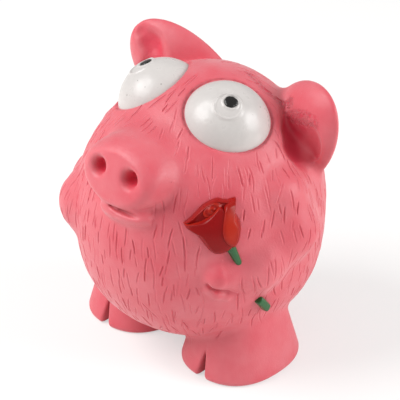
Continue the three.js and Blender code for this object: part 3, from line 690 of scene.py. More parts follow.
def bristle_sites(t):
    """Random places on a jittered grid of azimuth and latitude, with about even spacing over the body."""
    rng = np.random.default_rng(t.seed)
    azimuths, latitudes = [], []
    row_step = ROW_STEP / t.body_half_height
    for k, latitude in enumerate(np.arange(radians(-78), radians(84), row_step)):
        around = 2 * pi * t.body_radius * cos(latitude)
        number = max(int(around / LINE_STEP), 3)
        spot = (np.arange(number) + rng.uniform(-0.42, 0.42, number) + 0.5 * (k % 2)) / number
        azimuths.append(spot * 2 * pi - pi)
        latitudes.append(latitude + rng.uniform(-0.45, 0.45, number) * row_step)
    azimuths, latitudes = np.concatenate(azimuths), np.concatenate(latitudes)
    count = len(azimuths)
    return SimpleNamespace(
        azimuth=azimuths, latitude=latitudes,
        half=t.bristle_length / 2 * rng.uniform(0.5, 1.3, count),
        turn=rng.normal(0, radians(9), count),
        bend=rng.normal(0, 0.02, count),
        depth=rng.uniform(0.35, 1.0, count) ** 1.2)


def bristles(t):
    """Centre, two tangents, half length, bend and depth of each line, set on the skin. Lines run up the body,
    and along the arms. They keep clear of the snout, ears, eyes, feet, rose, stem, hands and squeaker."""
    site = bristle_sites(t)
    centre = settle(lambda p: skin_distance(p, t), body_place(site.azimuth, site.latitude, 1.5, t), 4)
    normal = unit(gradient(lambda p: skin_distance(p, t), centre))
    ahead = body_place(site.azimuth, site.latitude + 0.02, 0, t)
    along = ahead - body_place(site.azimuth, site.latitude - 0.02, 0, t)
    turning = np.zeros(len(centre), bool)
    for side in (1, -1):
        joints = arm_joints(side, t)
        near = smooth_step(-round_cone(centre, joints[1], joints[3], 9, 6), -0.5, 1.0)
        turning |= (near > 0.15) & (near < 0.85)
        fore = unit(joints[3] - joints[1]) * np.linalg.norm(along, axis=1, keepdims=True)
        along = along * (1 - near[:, None]) + fore * near[:, None]
    along = unit(along - normal * (along * normal).sum(-1, keepdims=True))
    across = np.cross(normal, along)
    turned = along * np.cos(site.turn)[:, None] + across * np.sin(site.turn)[:, None]
    rose = into(centre, rose_place(t))
    stem = over_body(UPPER_STEM, 0, t)
    gaps = [
        (snout_distance(centre, t), 1.0), (lip_distance(centre, t), 0.5), (ear_outer(centre, t), 1.5),
        (eye_distance(mirrored(centre), t), 1.8), (foot_distance(centre, t), 0.4),
        (body_distance(centre, t) - dented_body(centre, t), -0.05), (body_distance(centre, t), -0.3),
        (squeaker_hole_distance(centre, t), 2.5), (fold_distance(centre, t), 1.0),
        (np.hypot(rose[:, 0] / 8.6, rose[:, 1] / 9.0), 1.0), (round_cone(centre, *stem, 1.5, 1.0), site.half),
        (87 - centre[:, 2], 0.0)]
    gaps += [(np.linalg.norm(centre - arm_joints(side, t)[3], axis=1), 6.5) for side in (1, -1)]
    clear = ~turning
    for gap, least in gaps:
        clear &= gap > least
    return [a[clear] for a in (centre, turned, np.cross(normal, turned), site.half, site.bend, site.depth)]


def nearest_line(points, lines, width):
    """Number of the nearest bristle line within a width of each point, or -1."""
    order = np.argsort(points[:, 2])
    ranked, heights = points[order], points[order, 2]
    best = np.full(len(points), width)
    owner = np.full(len(points), -1)
    for k, (centre, along, across, half, bend, _) in enumerate(zip(*lines)):
        reach = half + width
        a, b = np.searchsorted(heights, [centre[2] - reach, centre[2] + reach])
        offset = ranked[a:b] - centre
        near = np.nonzero((offset**2).sum(-1) < reach**2)[0]
        offset = offset[near]
        s = offset @ along
        side = np.abs(offset @ across - bend * s**2)
        gap = np.hypot(side, np.maximum(np.abs(s) - half, 0))
        rows = order[a + near]
        better = gap < best[rows]
        best[rows[better]] = gap[better]
        owner[rows[better]] = k
    return owner


def line_place(points, owner, lines):
    """Each point's place across its line in millimetres and along it in half lengths, and the line's
    depth."""
    place = np.tile(np.array([9.0, 9.0, 0.0]), (len(points), 1))
    chosen = owner >= 0
    centre, along, across, half, bend, depth = (a[owner[chosen]] for a in lines)
    offset = points[chosen] - centre
    s = (offset * along).sum(-1)
    place[chosen] = np.stack([(offset * across).sum(-1) - bend * s**2, s / half, depth], -1)
    return place


def line_relief(place):
    """Height of a bristle line: a cut with a low bank on each side, fading out at both ends."""
    across, end = np.abs(place[:, 0]), np.abs(place[:, 1])
    cut = 0.24 * np.exp(-((across / 0.2) ** 2))
    bank = 0.08 * np.exp(-(((across - 0.48) / 0.2) ** 2))
    return (bank - cut) * place[:, 2] * (1 - smooth_step(end, 0.5, 1))


def lay_bristles(piece, lines):
    """Stores at each face's corners their place on the line nearest to the face."""
    mesh = piece.data
    vertex, start = np.empty(len(mesh.loops), np.int32), np.empty(len(mesh.polygons), np.int32)
    co = np.empty(len(mesh.vertices) * 3, np.float32)
    mesh.loops.foreach_get("vertex_index", vertex)
    mesh.polygons.foreach_get("loop_start", start)
    mesh.vertices.foreach_get("co", co)
    corners = (co.reshape(-1, 3) * 1000 - FRAME_SHIFT)[vertex]
    face_of = np.repeat(np.arange(len(start)), np.diff(np.append(start, len(vertex))))
    centres = np.add.reduceat(corners, start, 0) / np.bincount(face_of)[:, None]
    place = line_place(corners, nearest_line(centres, lines, LINE_REACH)[face_of], lines)
    stored = mesh.attributes.new("bristle", "FLOAT_VECTOR", "CORNER")
    stored.data.foreach_set("vector", place.astype(np.float32).ravel())


# Materials


DUST = 0x5E5A55

# Widths of the patterns' cells in millimetres. Pits, bubbles, dust and the grain of wax and paper are drawn
# coarser than the real ones, which would be too fine to show.
CLOUD, GRAIN, PIT, BUBBLE, FLAKE = 11.1, 1.43, 0.455, 1.61, 1.61
STROKE, PAINT_WAVE, DUST_SPOT = 3.85, 1.92, 2.33
TUFT, STRAND = 8.33, 0.667
FLOW_MARK, WAX_GRAIN, PAPER_GRAIN = 2.94, 0.385, 1.11

# Settings of nodes that are used more than once
TIMES, TIMES_PLUS, MINUS = {"operation": "MULTIPLY"}, {"operation": "MULTIPLY_ADD"}, {"operation": "SUBTRACT"}
LARGER, ABOVE, UNSIGNED = {"operation": "MAXIMUM"}, {"operation": "GREATER_THAN"}, {"operation": "ABSOLUTE"}
SOFT = {"interpolation_type": "SMOOTHSTEP"}
COLOURS = {"data_type": "RGBA"}
FALLING = {"To_Min": 1.0, "To_Max": 0.0}
NOISE_SPAN = {"From_Min": 0.3, "From_Max": 0.7}  # where most of a noise lies


def node(tree, kind, settings=None, **inputs):
    """Adds a node, sets its options, and sets or links its inputs, named as on the node or by number. A node
    given for an input is linked by its first output, and a colour of three numbers gets an alpha of one."""
    made = tree.nodes.new(kind)
    for key, value in (settings or {}).items():
        setattr(made, key, value)
    for key, value in inputs.items():
        numbered = key[0] == "i" and key[1:].isdigit()
        socket = made.inputs[int(key[1:]) if numbered else key.replace("_", " ")]
        if isinstance(value, bpy.types.Node):
            value = value.outputs[0]
        if isinstance(value, bpy.types.NodeSocket):
            tree.links.new(value, socket)
        elif socket.type == "RGBA" and len(value) == 3:
            socket.default_value = (*value, 1.0)
        else:
            socket.default_value = value
    return made


def cells(width):
    """Scale of a pattern: how many of its cells fit into a metre."""
    return 1000 / width


def new_material(name):
    """A material with an empty tree, and the object coordinates that its patterns read, in metres."""
    material = bpy.data.materials.new(name)
    material.use_nodes = True
    tree = material.node_tree
    tree.nodes.clear()
    return material, tree, node(tree, "ShaderNodeTexCoord").outputs["Object"]


def mottled(tree, pattern, low, high, most, colour, second):
    """A colour with up to a given share of a second one, as a pattern runs from low to high."""
    amount = node(tree, "ShaderNodeMapRange", Value=pattern, From_Min=low, From_Max=high, To_Max=most)
    return node(tree, "ShaderNodeMix", COLOURS, Factor=amount, A=colour, B=second).outputs["Result"]


def specks(tree, place, width, low, high, channel, rarity):
    """Small round spots, one in each of the few cells whose random colour passes the rarity."""
    scattered = node(tree, "ShaderNodeTexVoronoi", Vector=place, Scale=cells(width))
    spot = node(tree, "ShaderNodeMapRange", SOFT, Value=scattered, From_Min=low, From_Max=high, **FALLING)
    random = node(tree, "ShaderNodeSeparateColor", Color=scattered.outputs["Color"]).outputs[channel]
    rare = node(tree, "ShaderNodeMath", ABOVE, i0=random, i1=rarity)
    return node(tree, "ShaderNodeMath", TIMES, i0=spot, i1=rare)


def shaded(colour, factor):
    return [c * factor for c in colour]


def bristle_pattern(tree):
    """Height of a bristle line's cut and banks, and the share of darker pink painted into its cut as shade.
    """
    line = node(tree, "ShaderNodeAttribute", {"attribute_name": "bristle"}).outputs["Vector"]
    parts = node(tree, "ShaderNodeSeparateXYZ", Vector=line).outputs
    side = node(tree, "ShaderNodeMath", UNSIGNED, i0=parts["X"])
    end = node(tree, "ShaderNodeMath", UNSIGNED, i0=parts["Y"])
    fade = node(tree, "ShaderNodeMapRange", SOFT, Value=end, From_Min=0.55, From_Max=1.0, **FALLING)
    strength = node(tree, "ShaderNodeMath", TIMES, i0=fade, i1=parts["Z"])
    profile = node(tree, "ShaderNodeFloatCurve", Value=side)
    curve = profile.mapping.curves[0]
    curve.points[0].location = (0.0, 0.0)
    curve.points[1].location = (1.0, 0.5)
    for x, y in ((0.1, 0.03), (0.27, 0.64), (0.44, 0.7), (0.8, 0.5)):
        curve.points.new(x, y)
    profile.mapping.update()
    raised = node(tree, "ShaderNodeMath", MINUS, i0=profile, i1=0.5)
    height = node(tree, "ShaderNodeMath", TIMES, i0=raised, i1=strength)
    # Share of darker pink painted into the cut as its shade
    cut = node(tree, "ShaderNodeMapRange", SOFT, Value=side, From_Min=0.06, From_Max=0.24, **FALLING)
    return height, node(tree, "ShaderNodeMath", TIMES, i0=cut, i1=strength)


def latex_material(colours):
    """Moulded latex coloured in the mass: a dull skin with fine pits from the plaster mould, faint clouds
    of colour, bristle lines cut into it, and a deeper pink painted in as shade where it is hollow, cut or
    torn."""
    material, tree, place = new_material("moulded_latex")
    line_height, groove_shade = bristle_pattern(tree)
    clouds = node(tree, "ShaderNodeTexNoise", Vector=place, Scale=cells(CLOUD), Detail=3.0, Roughness=0.55)
    pits = node(tree, "ShaderNodeTexNoise", Vector=place, Scale=cells(PIT), Detail=2.0, Roughness=0.6)
    grain = node(tree, "ShaderNodeTexNoise", Vector=place, Scale=cells(GRAIN), Detail=3.0, Roughness=0.6)
    bubbles = specks(tree, place, BUBBLE, 0.1, 0.2, "Red", 0.9)
    flakes = node(
        tree, "ShaderNodeTexNoise", Vector=place, Scale=cells(FLAKE), Detail=3.0, Roughness=0.6,
        Distortion=1.6)
    whole = node(tree, "ShaderNodeMapRange", SOFT, Value=flakes, From_Min=0.42, From_Max=0.6)
    crack = node(tree, "ShaderNodeMath", MINUS, i0=1.0, i1=whole)
    crumb = node(tree, "ShaderNodeAttribute", {"attribute_name": "crumb"}).outputs["Fac"]
    crack = node(tree, "ShaderNodeMath", TIMES, i0=crack, i1=crumb)
    hollow = node(tree, "ShaderNodeAttribute", {"attribute_name": "hollow"}).outputs["Fac"]

    paler = [c + (1 - c) * 0.45 for c in colours.latex]
    base = mottled(tree, clouds, 0.3, 0.7, 0.14, colours.latex, paler)
    # Painted shade: darker pink in the bristle cuts, the torn cracks of the flash and the hollows
    painted_shade = node(tree, "ShaderNodeMath", TIMES, i0=groove_shade, i1=0.65)
    painted_shade = node(tree, "ShaderNodeMath", TIMES_PLUS, i0=crack, i1=0.9, i2=painted_shade)
    painted_shade = node(tree, "ShaderNodeMath", LARGER, i0=painted_shade, i1=hollow)
    shown = node(tree, "ShaderNodeMix", COLOURS, Factor=painted_shade, A=base, B=colours.latex_deep).outputs["Result"]

    height = node(tree, "ShaderNodeMath", TIMES, i0=pits, i1=0.16)
    for part, weight in ((grain, 0.16), (bubbles, 0.18), (line_height, 0.5), (crack, -0.7)):
        height = node(tree, "ShaderNodeMath", TIMES_PLUS, i0=part, i1=weight, i2=height)
    latex = node(
        tree, "ShaderNodeBsdfPrincipled", Base_Color=shown, IOR=1.5, Specular_IOR_Level=0.65,
        Roughness=node(tree, "ShaderNodeMapRange", Value=grain, **NOISE_SPAN, To_Min=0.46, To_Max=0.56),
        Normal=node(tree, "ShaderNodeBump", Height=height, Distance=0.0004, Strength=1.0),
        Subsurface_Weight=0.12, Subsurface_Scale=0.0012, Subsurface_Radius=(1.0, 0.35, 0.25),
        Sheen_Weight=0.2, Sheen_Roughness=0.45)
    node(tree, "ShaderNodeOutputMaterial", Surface=latex)
    return material


def gloss_paint(name, colour, rough, speck=0.0, second=None, shine=0.5):
    """Gloss latex paint brushed on by hand: slightly uneven in colour and thickness, with a second colour
    where the piece's rolled attribute asks for it, and dust specks."""
    material, tree, place = new_material(name)
    brushed = node(tree, "ShaderNodeTexNoise", Vector=place, Scale=cells(STROKE), Detail=4.0, Roughness=0.6)
    shown = mottled(tree, brushed, 0.35, 0.75, 0.28, colour, shaded(colour, 0.72))
    if second is not None:
        weight = node(tree, "ShaderNodeAttribute", {"attribute_name": "rolled"}).outputs["Fac"]
        shown = node(tree, "ShaderNodeMix", COLOURS, Factor=weight, A=shown, B=second).outputs["Result"]
    if speck > 0:
        dust = specks(tree, place, DUST_SPOT, 0.05, 0.13, "Green", 0.7)
        dust = node(tree, "ShaderNodeMath", TIMES, i0=dust, i1=speck)
        shown = node(tree, "ShaderNodeMix", COLOURS, Factor=dust, A=shown, B=linear(DUST)).outputs["Result"]
    flow = node(tree, "ShaderNodeTexNoise", Vector=place, Scale=cells(PAINT_WAVE), Detail=2.0)
    dull = node(
        tree, "ShaderNodeMapRange", Value=brushed, **NOISE_SPAN, To_Min=rough * 0.85, To_Max=rough * 1.25)
    paint = node(
        tree, "ShaderNodeBsdfPrincipled", Base_Color=shown, Roughness=dull, IOR=1.5, Specular_IOR_Level=shine,
        Normal=node(tree, "ShaderNodeBump", Height=flow, Distance=0.00012, Strength=0.6))
    node(tree, "ShaderNodeOutputMaterial", Surface=paint)
    return material


def fibre_material(colours):
    """Carded polyester fibre: soft white tufts with fine strands, greyer where the tufts' bump is low as
    painted shade.
    """
    material, tree, place = new_material("carded_polyester_fibre")
    tufts = node(tree, "ShaderNodeTexNoise", Vector=place, Scale=cells(TUFT), Detail=4.0, Distortion=2.5)
    strands = node(tree, "ShaderNodeTexNoise", Vector=place, Scale=cells(STRAND), Detail=5.0, Distortion=4.0)
    mixed = node(tree, "ShaderNodeMath", TIMES, i0=tufts, i1=strands)
    fibre = node(
        tree, "ShaderNodeBsdfPrincipled", Roughness=0.95, Sheen_Weight=0.4, Sheen_Roughness=0.6,
        # The low places of the tufts' bump get the greyer white: painted shade between the tufts
        Base_Color=mottled(tree, mixed, 0.1, 0.4, 1.0, shaded(colours.fibre, 0.72), colours.fibre),
        Normal=node(tree, "ShaderNodeBump", Height=mixed, Distance=0.0012, Strength=1.0))
    node(tree, "ShaderNodeOutputMaterial", Surface=fibre)
    return material


def plastic_material(name, colour, rough, through=0.0):
    """Injection moulded polyethylene or drawn film: milky, with faint flow marks and a waxy surface."""
    material, tree, place = new_material(name)
    flow = node(tree, "ShaderNodeTexNoise", Vector=place, Scale=cells(FLOW_MARK), Detail=3.0, Distortion=0.8)
    skin = node(tree, "ShaderNodeTexNoise", Vector=place, Scale=cells(WAX_GRAIN), Detail=2.0)
    waxy = node(
        tree, "ShaderNodeMapRange", Value=skin, **NOISE_SPAN, To_Min=rough * 0.9, To_Max=rough * 1.15)
    plastic = node(
        tree, "ShaderNodeBsdfPrincipled", Roughness=waxy, IOR=1.51, Transmission_Weight=through,
        Base_Color=mottled(tree, flow, 0.3, 0.7, 0.35, colour, shaded(colour, 0.86)),
        Normal=node(tree, "ShaderNodeBump", Height=skin, Distance=0.00005, Strength=0.5))
    node(tree, "ShaderNodeOutputMaterial", Surface=plastic)
    return material


def coat(piece, material):
    piece.data.materials.clear()
    piece.data.materials.append(material)


def dress(piece, material, body, slot, *nodes):
    coat(piece, material)
    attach(piece, body)
    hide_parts(*nodes)


# Pieces


FLASH_LINE = ((139, 70.5), (127.5, 66.9), (119.6, 62.5), (118.8, 58.5), (119.3, 54.0), (122, 50))
EAR_ROOT = ((119.5, 51.5), (122, 48.5))
SKIN_BOX = ((-46.0, -43.5, -3.0), (46.0, 49.0, 96.0))
FINE_DEPTH = 1.6  # the skin is cut finer down to this depth


def mark_skin(piece, points, t):
    """Stores how deep each point lies in an ear, dent, nostril or crease, where the latex gets a darker pink
    as painted shade, and how near it is to the torn flash line on the crown, the left ear's root and the rim
    of its well."""
    depth = -np.maximum(ear_outer(points, t), -ear_well(points, t) - 1.5)
    dent = dented_body(points, t) - body_distance(points, t)
    inward = t.snout_reach - into(points, snout_place(t))[:, 2]
    nostril = np.where(nostril_distance(points, t) < 0.8, inward - 0.6, 0)
    crease = np.where(points[:, 0] > 0, crease_distance(points, 1, t), crease_distance(points, -1, t))
    shade_depth = smooth_step(np.maximum.reduce([depth, dent, nostril, 1.1 - 1.6 * crease]), 0.3, 2.6)
    # hollow: the share of darker pink painted in as shade, none inside the cavity
    add_float(piece, "hollow", np.where(cavity_distance(points, t) < 0.6, 0, shade_depth))

    seam = round_chain(points, over_body(FLASH_LINE, 0, t), (0.4,) * len(FLASH_LINE), 0.1)
    root = round_chain(points, over_body(EAR_ROOT, (0.5, 2.0), t), (0.6, 1.6), 0.1)
    q = into(mirrored(points), ear_place(1, t))
    rim = np.hypot(ear_well(points, t), ear_outer(points, t)) - 0.6 * smooth_step(q[:, 2], 2, 9)
    rim += 3 * smooth_step(q[:, 0], 2, 9) + 9 * smooth_step(-q[:, 2], -4, 0) + 9 * (points[:, 0] < 0)
    torn = np.minimum.reduce([seam, root, np.maximum(rim, 0.5)])
    add_float(piece, "crumb", 1 - smooth_step(torn, 0.0, 1.5))


def make_skin(t, lines):
    """The zero level of the skin's distance, cut finer on the outside and again along the bristle lines,
    set back on that level, with the lines pressed in."""
    distance = lambda p: skin_distance(p, t)
    points, quads = net_surface(distance, *SKIN_BOX, t.skin_step)
    points = settle(distance, points)
    outside = (body_distance(points, t) > -FINE_DEPTH)[quads].any(1)
    points, small, loops, sizes = refine(points, quads, outside)
    points = settle(distance, points)
    kept = len(points)
    lined = nearest_line(points[small].mean(1), lines, 0.5) >= 0
    lined &= ~np.isin(small, loops).any(1)
    points, tiny, more_loops, more_sizes = refine(points, small, lined)
    points[kept:] = settle(distance, points[kept:], 1)
    loops = np.concatenate([tiny.ravel(), more_loops, loops])
    sizes = np.concatenate([np.full(len(tiny), 4), more_sizes, sizes])
    relief = line_relief(line_place(points, nearest_line(points, lines, 1.0), lines))
    cut = np.abs(relief) > 0.001
    points[cut] += unit(gradient(distance, points[cut])) * relief[cut, None]
    piece = make_object("latex_skin", points, loops, sizes)
    mark_skin(piece, points, t)
    return piece


PUPIL_SHIFT = (0.9, 1.2)
EYE_ROOT = 1.25  # how deep under the body's surface an eye's rim lies


def eye_height(x, y, side, t):
    """Ball, with a shallow dish inside the iris ring, the ring, and a collar round the pupil's seat."""
    r = np.hypot(x, y)
    ball = np.sqrt(np.maximum(t.eye_radius**2 - r**2, 0))
    ring = 0.3 * np.exp(-(((r - t.iris_radius) / 0.38) ** 2)) - 0.2 * smooth_step(-r, -t.iris_radius, -3.2)
    shift = np.hypot(x - side * PUPIL_SHIFT[0], y - PUPIL_SHIFT[1])
    collar = 0.22 * np.exp(-(((shift - t.pupil_radius - 0.45) / 0.35) ** 2))
    seat = -0.35 * smooth_step(-shift, -t.pupil_radius, -t.pupil_radius + 0.35)
    return ball + ring + collar + seat


def make_eye(side, t):
    """Polar grid: the ball's cap out to where it meets the body, then back along the body's surface."""
    place = eye_place(side, t)
    columns = 128
    theta = np.linspace(0, 2 * pi, columns, endpoint=False)
    low, high = np.full(columns, 0.2), np.full(columns, pi / 2 + 0.5)

    def cap(phi):
        out = np.sin(phi)
        return t.eye_radius * np.stack([out * np.cos(theta), out * np.sin(theta), np.cos(phi)], -1)

    for _ in range(30):
        middle = (low + high) / 2
        outside = body_distance(out_of(cap(middle), place), t) > -EYE_ROOT
        low, high = np.where(outside, middle, low), np.where(outside, high, middle)
    rows = []
    for s in np.linspace(0, 1, 110):
        q = cap(low * s)
        near = q[:, 2] > t.eye_radius * 0.6
        q[near, 2] = eye_height(q[near, 0], q[near, 1], side, t)
        rows.append(out_of(q, place))
    rim = rows[-1]
    core = out_of(np.array([[0, 0, 5.0]]), place)
    for s in np.linspace(0, 1, 14)[1:]:
        ring = rim * (1 - s) + core * s
        for _ in range(4):
            ring = ring - (body_distance(ring, t) + EYE_ROOT)[:, None] * place[1][2]
        rows.append(ring)
    return round_piece(f"eye_dome_{'left' if side > 0 else 'right'}", np.stack(rows))


def make_pupil(side, t):
    """Drop of paint: a disc with a wavy edge that follows the ball, rounded on top."""
    place = eye_place(side, t)
    theta = np.linspace(0, 2 * pi, 72, endpoint=False)
    wave = 0.035 * np.sin(3 * theta + 1 + side) + 0.03 * np.sin(7 * theta) + 0.02 * np.sin(11 * theta + 2)
    edge = t.pupil_radius * (1 + wave)
    rows = []
    for r, top in [(r, True) for r in np.linspace(0, 1, 14)] + [(r, False) for r in np.linspace(0.97, 0, 6)]:
        x = side * PUPIL_SHIFT[0] + r * edge * np.cos(theta)
        y = PUPIL_SHIFT[1] + r * edge * np.sin(theta)
        ball = np.sqrt(t.eye_radius**2 - x**2 - y**2)
        lift = 0.3 * sqrt(max(1 - r**4, 0)) - 0.02 if top else -0.3
        rows.append(out_of(np.stack([x, y, ball + lift], -1), place))
    return round_piece(f"pupil_{'left' if side > 0 else 'right'}_paint", np.stack(rows))


def smooth_outline(points):
    """Closed curve through given points, each span a cubic of its four neighbours, sharp at the first."""
    points = np.array(points, float)
    s = np.linspace(0, 1, 8, endpoint=False)[:, None]
    out = []
    for i in range(len(points)):
        a, b, c, d = (points[(i + k) % len(points)] for k in (-1, 0, 1, 2))
        a = b if i == 0 else a
        d = c if i == len(points) - 1 else d
        out.append(2 * b + (c - a) * s + (2 * a - 5 * b + 4 * c - d) * s**2 + (3 * b - a - 3 * c + d) * s**3)
    return 0.5 * np.concatenate(out)


def reach_of(outline, centre, theta):
    """How far the outline lies from a centre in each direction."""
    a = outline - centre
    b = np.roll(a, -1, 0)
    d = np.stack([np.cos(theta), np.sin(theta)], -1)
    cross_ab = a[:, 0] * b[:, 1] - a[:, 1] * b[:, 0]
    edge = b - a
    bottom = d[:, None, 0] * edge[None, :, 1] - d[:, None, 1] * edge[None, :, 0]
    r = cross_ab[None] / np.where(np.abs(bottom) < 1e-9, 1e-9, bottom)
    hit = r[..., None] * d[:, None] - a[None]
    s = (hit * edge[None]).sum(-1) / (edge**2).sum(-1)
    good = (r > 0) & (s >= -1e-6) & (s <= 1 + 1e-6)
    return np.where(good, r, -1).max(1)


def skin_fall(x, y):
    """How far the body falls away from the plane of the rose."""
    return -(x**2 + y**2) / 82.0


def relief_piece(name, outline, centre, edge, height, rolled, place):
    """Polar grid over an outline: a height above the skin that rounds down to it over an edge width, closed
    by a floor that lies a little inside the skin. Stores how much of the second paint shows."""
    theta = np.linspace(0, 2 * pi, 168, endpoint=False)
    reach = reach_of(outline, np.array(centre), theta)
    steps = [(r, True) for r in (*np.linspace(0, 0.8, 22), *np.linspace(0.82, 1, 16))]
    rows = []
    for r, above in steps + [(r, False) for r in np.linspace(0.96, 0, 8)]:
        x = centre[0] + r * reach * np.cos(theta)
        y = centre[1] + r * reach * np.sin(theta)
        z = skin_fall(x, y) - (RELIEF_ROOT if above else RELIEF_FLOOR)
        if above:
            depth = np.clip((1 - r) * reach / edge, 0, 1)
            z += (height(x, y) - z) * np.sqrt(np.maximum(1 - (1 - depth) ** 2, 0))
        rows.append(np.stack([x, y, z], -1))
    grid = np.stack(rows)
    piece = round_piece(name, out_of(grid, place))
    add_float(piece, "rolled", rolled(*single_poles(grid)[:, :2].T))
    return piece


# The rose's outlines, in millimetres in its plane, with X to the pig's left and Y up
RELIEF_ROOT, RELIEF_FLOOR = 0.35, 0.9
LEFT_TIP = (-8.5, 1.7)
CROWN = ((-6.5, 3.1), (-2.9, 6.5), (0.8, 8.2), (3.2, 7.9))
RIGHT_TIP = (6.8, 8.3)
RIGHT_EDGE = ((6.1, 4.6), (7.5, 1.8), (7.8, -0.8), (7.1, -4.2), (6.0, -6.0))
BASE = ((3.6, -7.2), (0.9, -7.8), (-1.4, -6.6), (-4.8, -2.1), (-6.2, -1.0), (-7.8, 0.2))
RIDGE = ((-4.6, 2.4), (-2.4, 3.4), (-0.2, 5.0), (1.8, 6.8))
LOBE_EDGE = ((3.4, 7.4), (2.2, 4.8), (1.3, 1.6), (1.3, -1.6), (2.4, -4.3), (4.4, -6.0))
FRONT_RIM = (LEFT_TIP, *RIDGE)
BACK_RIM = (LEFT_TIP, *CROWN, (4.4, 7.6))
FRONT_OUTLINE = (LEFT_TIP, *BASE[::-1], (5.6, -5.4), (5.2, -2), (4.8, 2), (3.6, 5.4), *RIDGE[::-1])
SIDE_OUTLINE = (RIGHT_TIP, *LOBE_EDGE, *RIGHT_EDGE[::-1])
BACK_OUTLINE = (LEFT_TIP, *CROWN, (4.6, 7.4), (3.4, 5.2), (1.0, 3.4), (-1.2, 2.0), (-4.5, 1.2))
BUD_MIDDLE = (-0.3, 5.5)


def line_gap(x, y, points):
    """Distance in the plane to an open line through points."""
    gap = np.full(x.shape, 99.0)
    for a, b in zip(points[:-1], points[1:]):
        ax, ay, bx, by = *a, *b
        s = np.clip(((x - ax) * (bx - ax) + (y - ay) * (by - ay)) / ((bx - ax) ** 2 + (by - ay) ** 2), 0, 1)
        gap = np.minimum(gap, np.hypot(x - ax - s * (bx - ax), y - ay - s * (by - ay)))
    return gap


def petal_dome(x, y):
    """A low dome over the rose: height times the root of 1 - r^2 over its radius squared."""
    return 5.2 * np.sqrt(np.maximum(1 - (x**2 + y**2) / 9.8**2, 0.04))


def bud_outline():
    """An oval round the bud's middle, leaning to the right."""
    turn = np.linspace(0, 2 * pi, 24, endpoint=False)[:, None]
    return BUD_MIDDLE + 3.7 * np.cos(turn) * (0.84, 0.54) + 2.0 * np.sin(turn) * (-0.54, 0.84)


def swirl(x, y):
    """Wave that winds out from the bud's middle."""
    x, y = x - BUD_MIDDLE[0], y - BUD_MIDDLE[1]
    return np.cos(np.arctan2(y, x) - 3.4 * np.hypot(x, y * 1.3))


def front_height(x, y):
    """The dome with a rounded ridge along the front petal's rim."""
    return petal_dome(x, y) - 0.3 + 0.5 * np.exp(-((line_gap(x, y, FRONT_RIM) / 0.6) ** 2))


def side_height(x, y):
    """The dome, a little higher, flaring out towards the tip."""
    return petal_dome(x, y) + 0.25 + 0.7 * smooth_step(y, 4.5, 8.5)


def back_height(x, y):
    """Follows the body's fall, with a rounded ridge along the back petal's rim."""
    return 2.9 + skin_fall(x, y) + 0.7 * np.exp(-((line_gap(x, y, BACK_RIM) / 0.9) ** 2))


def bud_height(x, y):
    """Follows the body's fall, sinks with the square of the distance from the middle, and swirls."""
    away = ((x - BUD_MIDDLE[0]) ** 2 + (y - BUD_MIDDLE[1]) ** 2) / 9
    return 3.7 + skin_fall(x, y) - 0.5 * away + 0.14 * swirl(x, y)


def make_rose(t, colours):
    """Three painted petals and a bud in low relief. The front petal's top edge is rolled over, and the
    side petal is a soft lobe that lies on it."""
    place = rose_place(t)
    dark, light = (
        gloss_paint(f"{name}_gloss_paint", colour, 0.3, second=second, shine=0.18)
        for name, colour, second in (
            ("dark_red", colours.petal_dark, colours.petal_light),
            ("orange_red", colours.petal_light, colours.petal_dark)))
    front = relief_piece(
        "rose_petal_front", smooth_outline(FRONT_OUTLINE), (-0.4, -1.2), 1.3, front_height,
        lambda x, y: 0.7 * (1 - smooth_step(line_gap(x, y, FRONT_RIM), 0.2, 0.75)), place)
    dress(front, dark, "toy", "rose_dark_red_paint", "rose_front_petal")
    side = relief_piece(
        "rose_petal_side", smooth_outline(SIDE_OUTLINE), (4.9, 1.0), 1.8, side_height,
        lambda x, y: 0.75 * smooth_step(np.hypot((x - 4.6) / 1.9, (y - 0.4) / 4.6), 0.5, 1.5), place)
    dress(side, light, "toy", "rose_orange_red_paint", "rose_side_petal")
    back = relief_piece(
        "rose_petal_back", smooth_outline(BACK_OUTLINE), (-1.2, 4.4), 0.9, back_height,
        lambda x, y: 0.2 * (1 - smooth_step(line_gap(x, y, BACK_RIM), 0.3, 1.0)), place)
    dress(back, dark, "toy", "rose_dark_red_paint", "rose_back_petal")
    bud = relief_piece(
        "rose_bud_swirl", bud_outline(), BUD_MIDDLE, 0.8, bud_height,
        lambda x, y: 0.35 + 0.4 * smooth_step(-swirl(x, y), -0.6, 0.6), place)
    dress(bud, light, "toy", "rose_orange_red_paint", "rose_bud")


def tube_piece(name, path, radii, blunt=False):
    """Round section carried along a path, with its ends drawn in to a point in a quarter round. A blunt one
    has a squarer section and flatter ends."""
    power, bulge, draw = (3.6, 0.5, 0.4) if blunt else (2.0, 1.0, 1.0)
    slope = unit(np.gradient(path, axis=0))
    side = unit(np.cross(slope, (0.0, 0.0, 1.0)))
    other = np.cross(side, slope)
    theta = np.linspace(0, 2 * pi, 24, endpoint=False)[:, None]
    c, s = np.cos(theta), np.sin(theta)
    stretch = (np.abs(c) ** power + np.abs(s) ** power) ** (-1 / power)

    def ring(k, turn, forward):
        centre = path[k] + slope[k] * radii[k] * cos(turn) * bulge * forward
        return centre + radii[k] * sin(turn) ** draw * stretch * (c * side[k] + s * other[k])

    turns = np.linspace(0, pi / 2, 6)[:-1]
    rows = [ring(0, turn, -1) for turn in turns] + [ring(k, pi / 2, 0) for k in range(len(path))]
    return round_piece(name, np.stack(rows + [ring(-1, turn, 1) for turn in turns[::-1]]))


